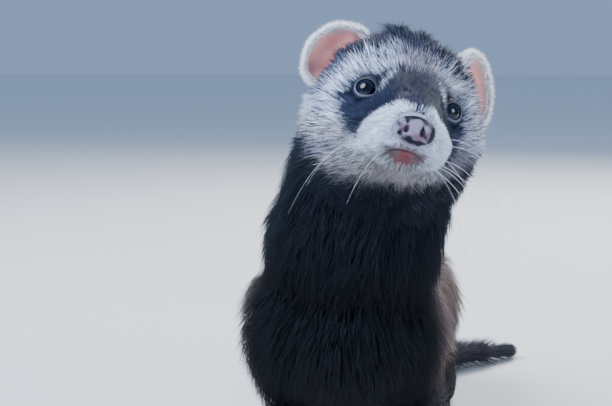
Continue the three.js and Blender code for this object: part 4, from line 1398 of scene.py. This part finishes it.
def claws():
    """Claws curve down from the tip of each toe, and rest on the floor."""
    lines = []
    for leg in LEGS:
        for _, knuckle, tip in toe_points(leg):
            ahead = unit((tip - knuckle) * at(1, 1, 0))
            share = np.linspace(0, 1, 9)[:, None]
            line = tip + ahead * (share * CLAW_LENGTH - CLAW_ROOT_INSIDE)
            line[:, 2] = tip[2] + CLAW_RISE - CLAW_DROP * share[:, 0] ** 2
            lines.append(line + CHEST_SPOT)
    return horn_piece("claws", lines, *CLAW_RADII, 8, horn_finish("claw_horn", "#5b4b40", "#b9a78f", 0.3))


SKIN, SKIN_POINTS, SKIN_QUADS = skin()
PIECES = [SKIN, nose_pad(), lips(), *coat(SKIN_POINTS, SKIN_QUADS), lid_coat(), *whiskers(), claws()]
for side_name, side, ear in (("_right", -1, EAR_RIGHT), ("_left", 1, EAR_LEFT)):
    PIECES += [lids(side, "lids" + side_name), eyeball(side, "eyeball" + side_name, "eye" + side_name),
               ear_skin(ear, "ear_skin" + side_name, "ear" + side_name), ear_fuzz(ear, side_name)]


# Floor, light and camera. The lights' places and sizes are in metres, and their power is in watts.

FLOOR_COLOUR = "#dcdad6"
FLOOR_HALF_WIDTH = 12.0
HORIZON_COLOUR = "#8da7ce"
ZENITH_COLOUR = "#9fc0f0"
SKY_STRENGTH = 0.95
SOFTBOXES = [("key_softbox", (-0.75, -0.55, 0.95), 0.85, 34, "#e2ebff"),
             ("fill_softbox", (0.9, -0.5, 0.45), 0.5, 8, "#eef2ff"),
             ("rim_softbox", (0.3, 0.9, 0.9), 0.7, 21, "#ffffff")]
CAMERA_AZIMUTH, CAMERA_PITCH = 9.0, 6.28
CAMERA_RIGHT, CAMERA_BACK, CAMERA_UP = -32.0, -404.0, 12.4
CAMERA_LENS, CAMERA_SENSOR = 76.47, 36


def stage_floor():
    """Floor of matt, rolled backdrop paper, pale and without gloss."""
    material, _, shader = finish_of("pale_floor", Roughness=0.9)
    shader.inputs["Base Color"].default_value = rgba(FLOOR_COLOUR)
    mesh = bpy.data.meshes.new("floor")
    w = FLOOR_HALF_WIDTH
    mesh.from_pydata([(-w, -w, 0), (w, -w, 0), (w, w, 0), (-w, w, 0)], [], [(0, 1, 2, 3)])
    mesh.materials.append(material)
    new_object("floor", mesh)


def light_stage():
    """Three soft discs of light that face the head, and a plain pale blue surround."""
    for name, place, size, power, colour in SOFTBOXES:
        light = bpy.data.lights.new(name, "AREA")
        light.shape = "DISK"
        light.size = size
        light.energy = power
        light.color = linear(colour)
        lamp = new_object(name, light)
        lamp.location = place
        lamp.rotation_euler = (Vector(HEAD_AT * MM) - Vector(place)).to_track_quat("-Z", "Y").to_euler()
    world = bpy.data.worlds.new("studio")
    world.use_nodes = True
    tree = world.node_tree
    heading = add(tree, "ShaderNodeTexCoord").outputs["Generated"]
    height = add(tree, "ShaderNodeSeparateXYZ", {0: heading}).outputs["Z"]
    sky = add(tree, "ShaderNodeMix", {0: height, 6: rgba(HORIZON_COLOUR), 7: rgba(ZENITH_COLOUR)},
              data_type="RGBA", clamp_factor=True)
    background = tree.nodes["Background"]
    tree.links.new(sky.outputs[2], background.inputs["Color"])
    background.inputs["Strength"].default_value = SKY_STRENGTH
    bpy.context.scene.world = world


def photo_camera():
    """The camera of the photograph: its distance and angle are from the middle of the eyes."""
    a = math.radians(CAMERA_AZIMUTH)
    right, ahead = at(math.cos(a), math.sin(a), 0), at(-math.sin(a), math.cos(a), 0)
    place = HEAD_AT + right * CAMERA_RIGHT + ahead * CAMERA_BACK + at(0, 0, CAMERA_UP)
    lens = bpy.data.cameras.new("camera")
    lens.lens = CAMERA_LENS
    lens.sensor_width = CAMERA_SENSOR
    lens.clip_start = 0.01
    camera = new_object("camera", lens)
    camera.location = Vector(place * MM)
    camera.rotation_euler = (math.radians(90 - CAMERA_PITCH), 0, a)
    bpy.context.scene.camera = camera


stage_floor()
light_stage()
photo_camera()

for piece in PIECES:
    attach(piece, "root")
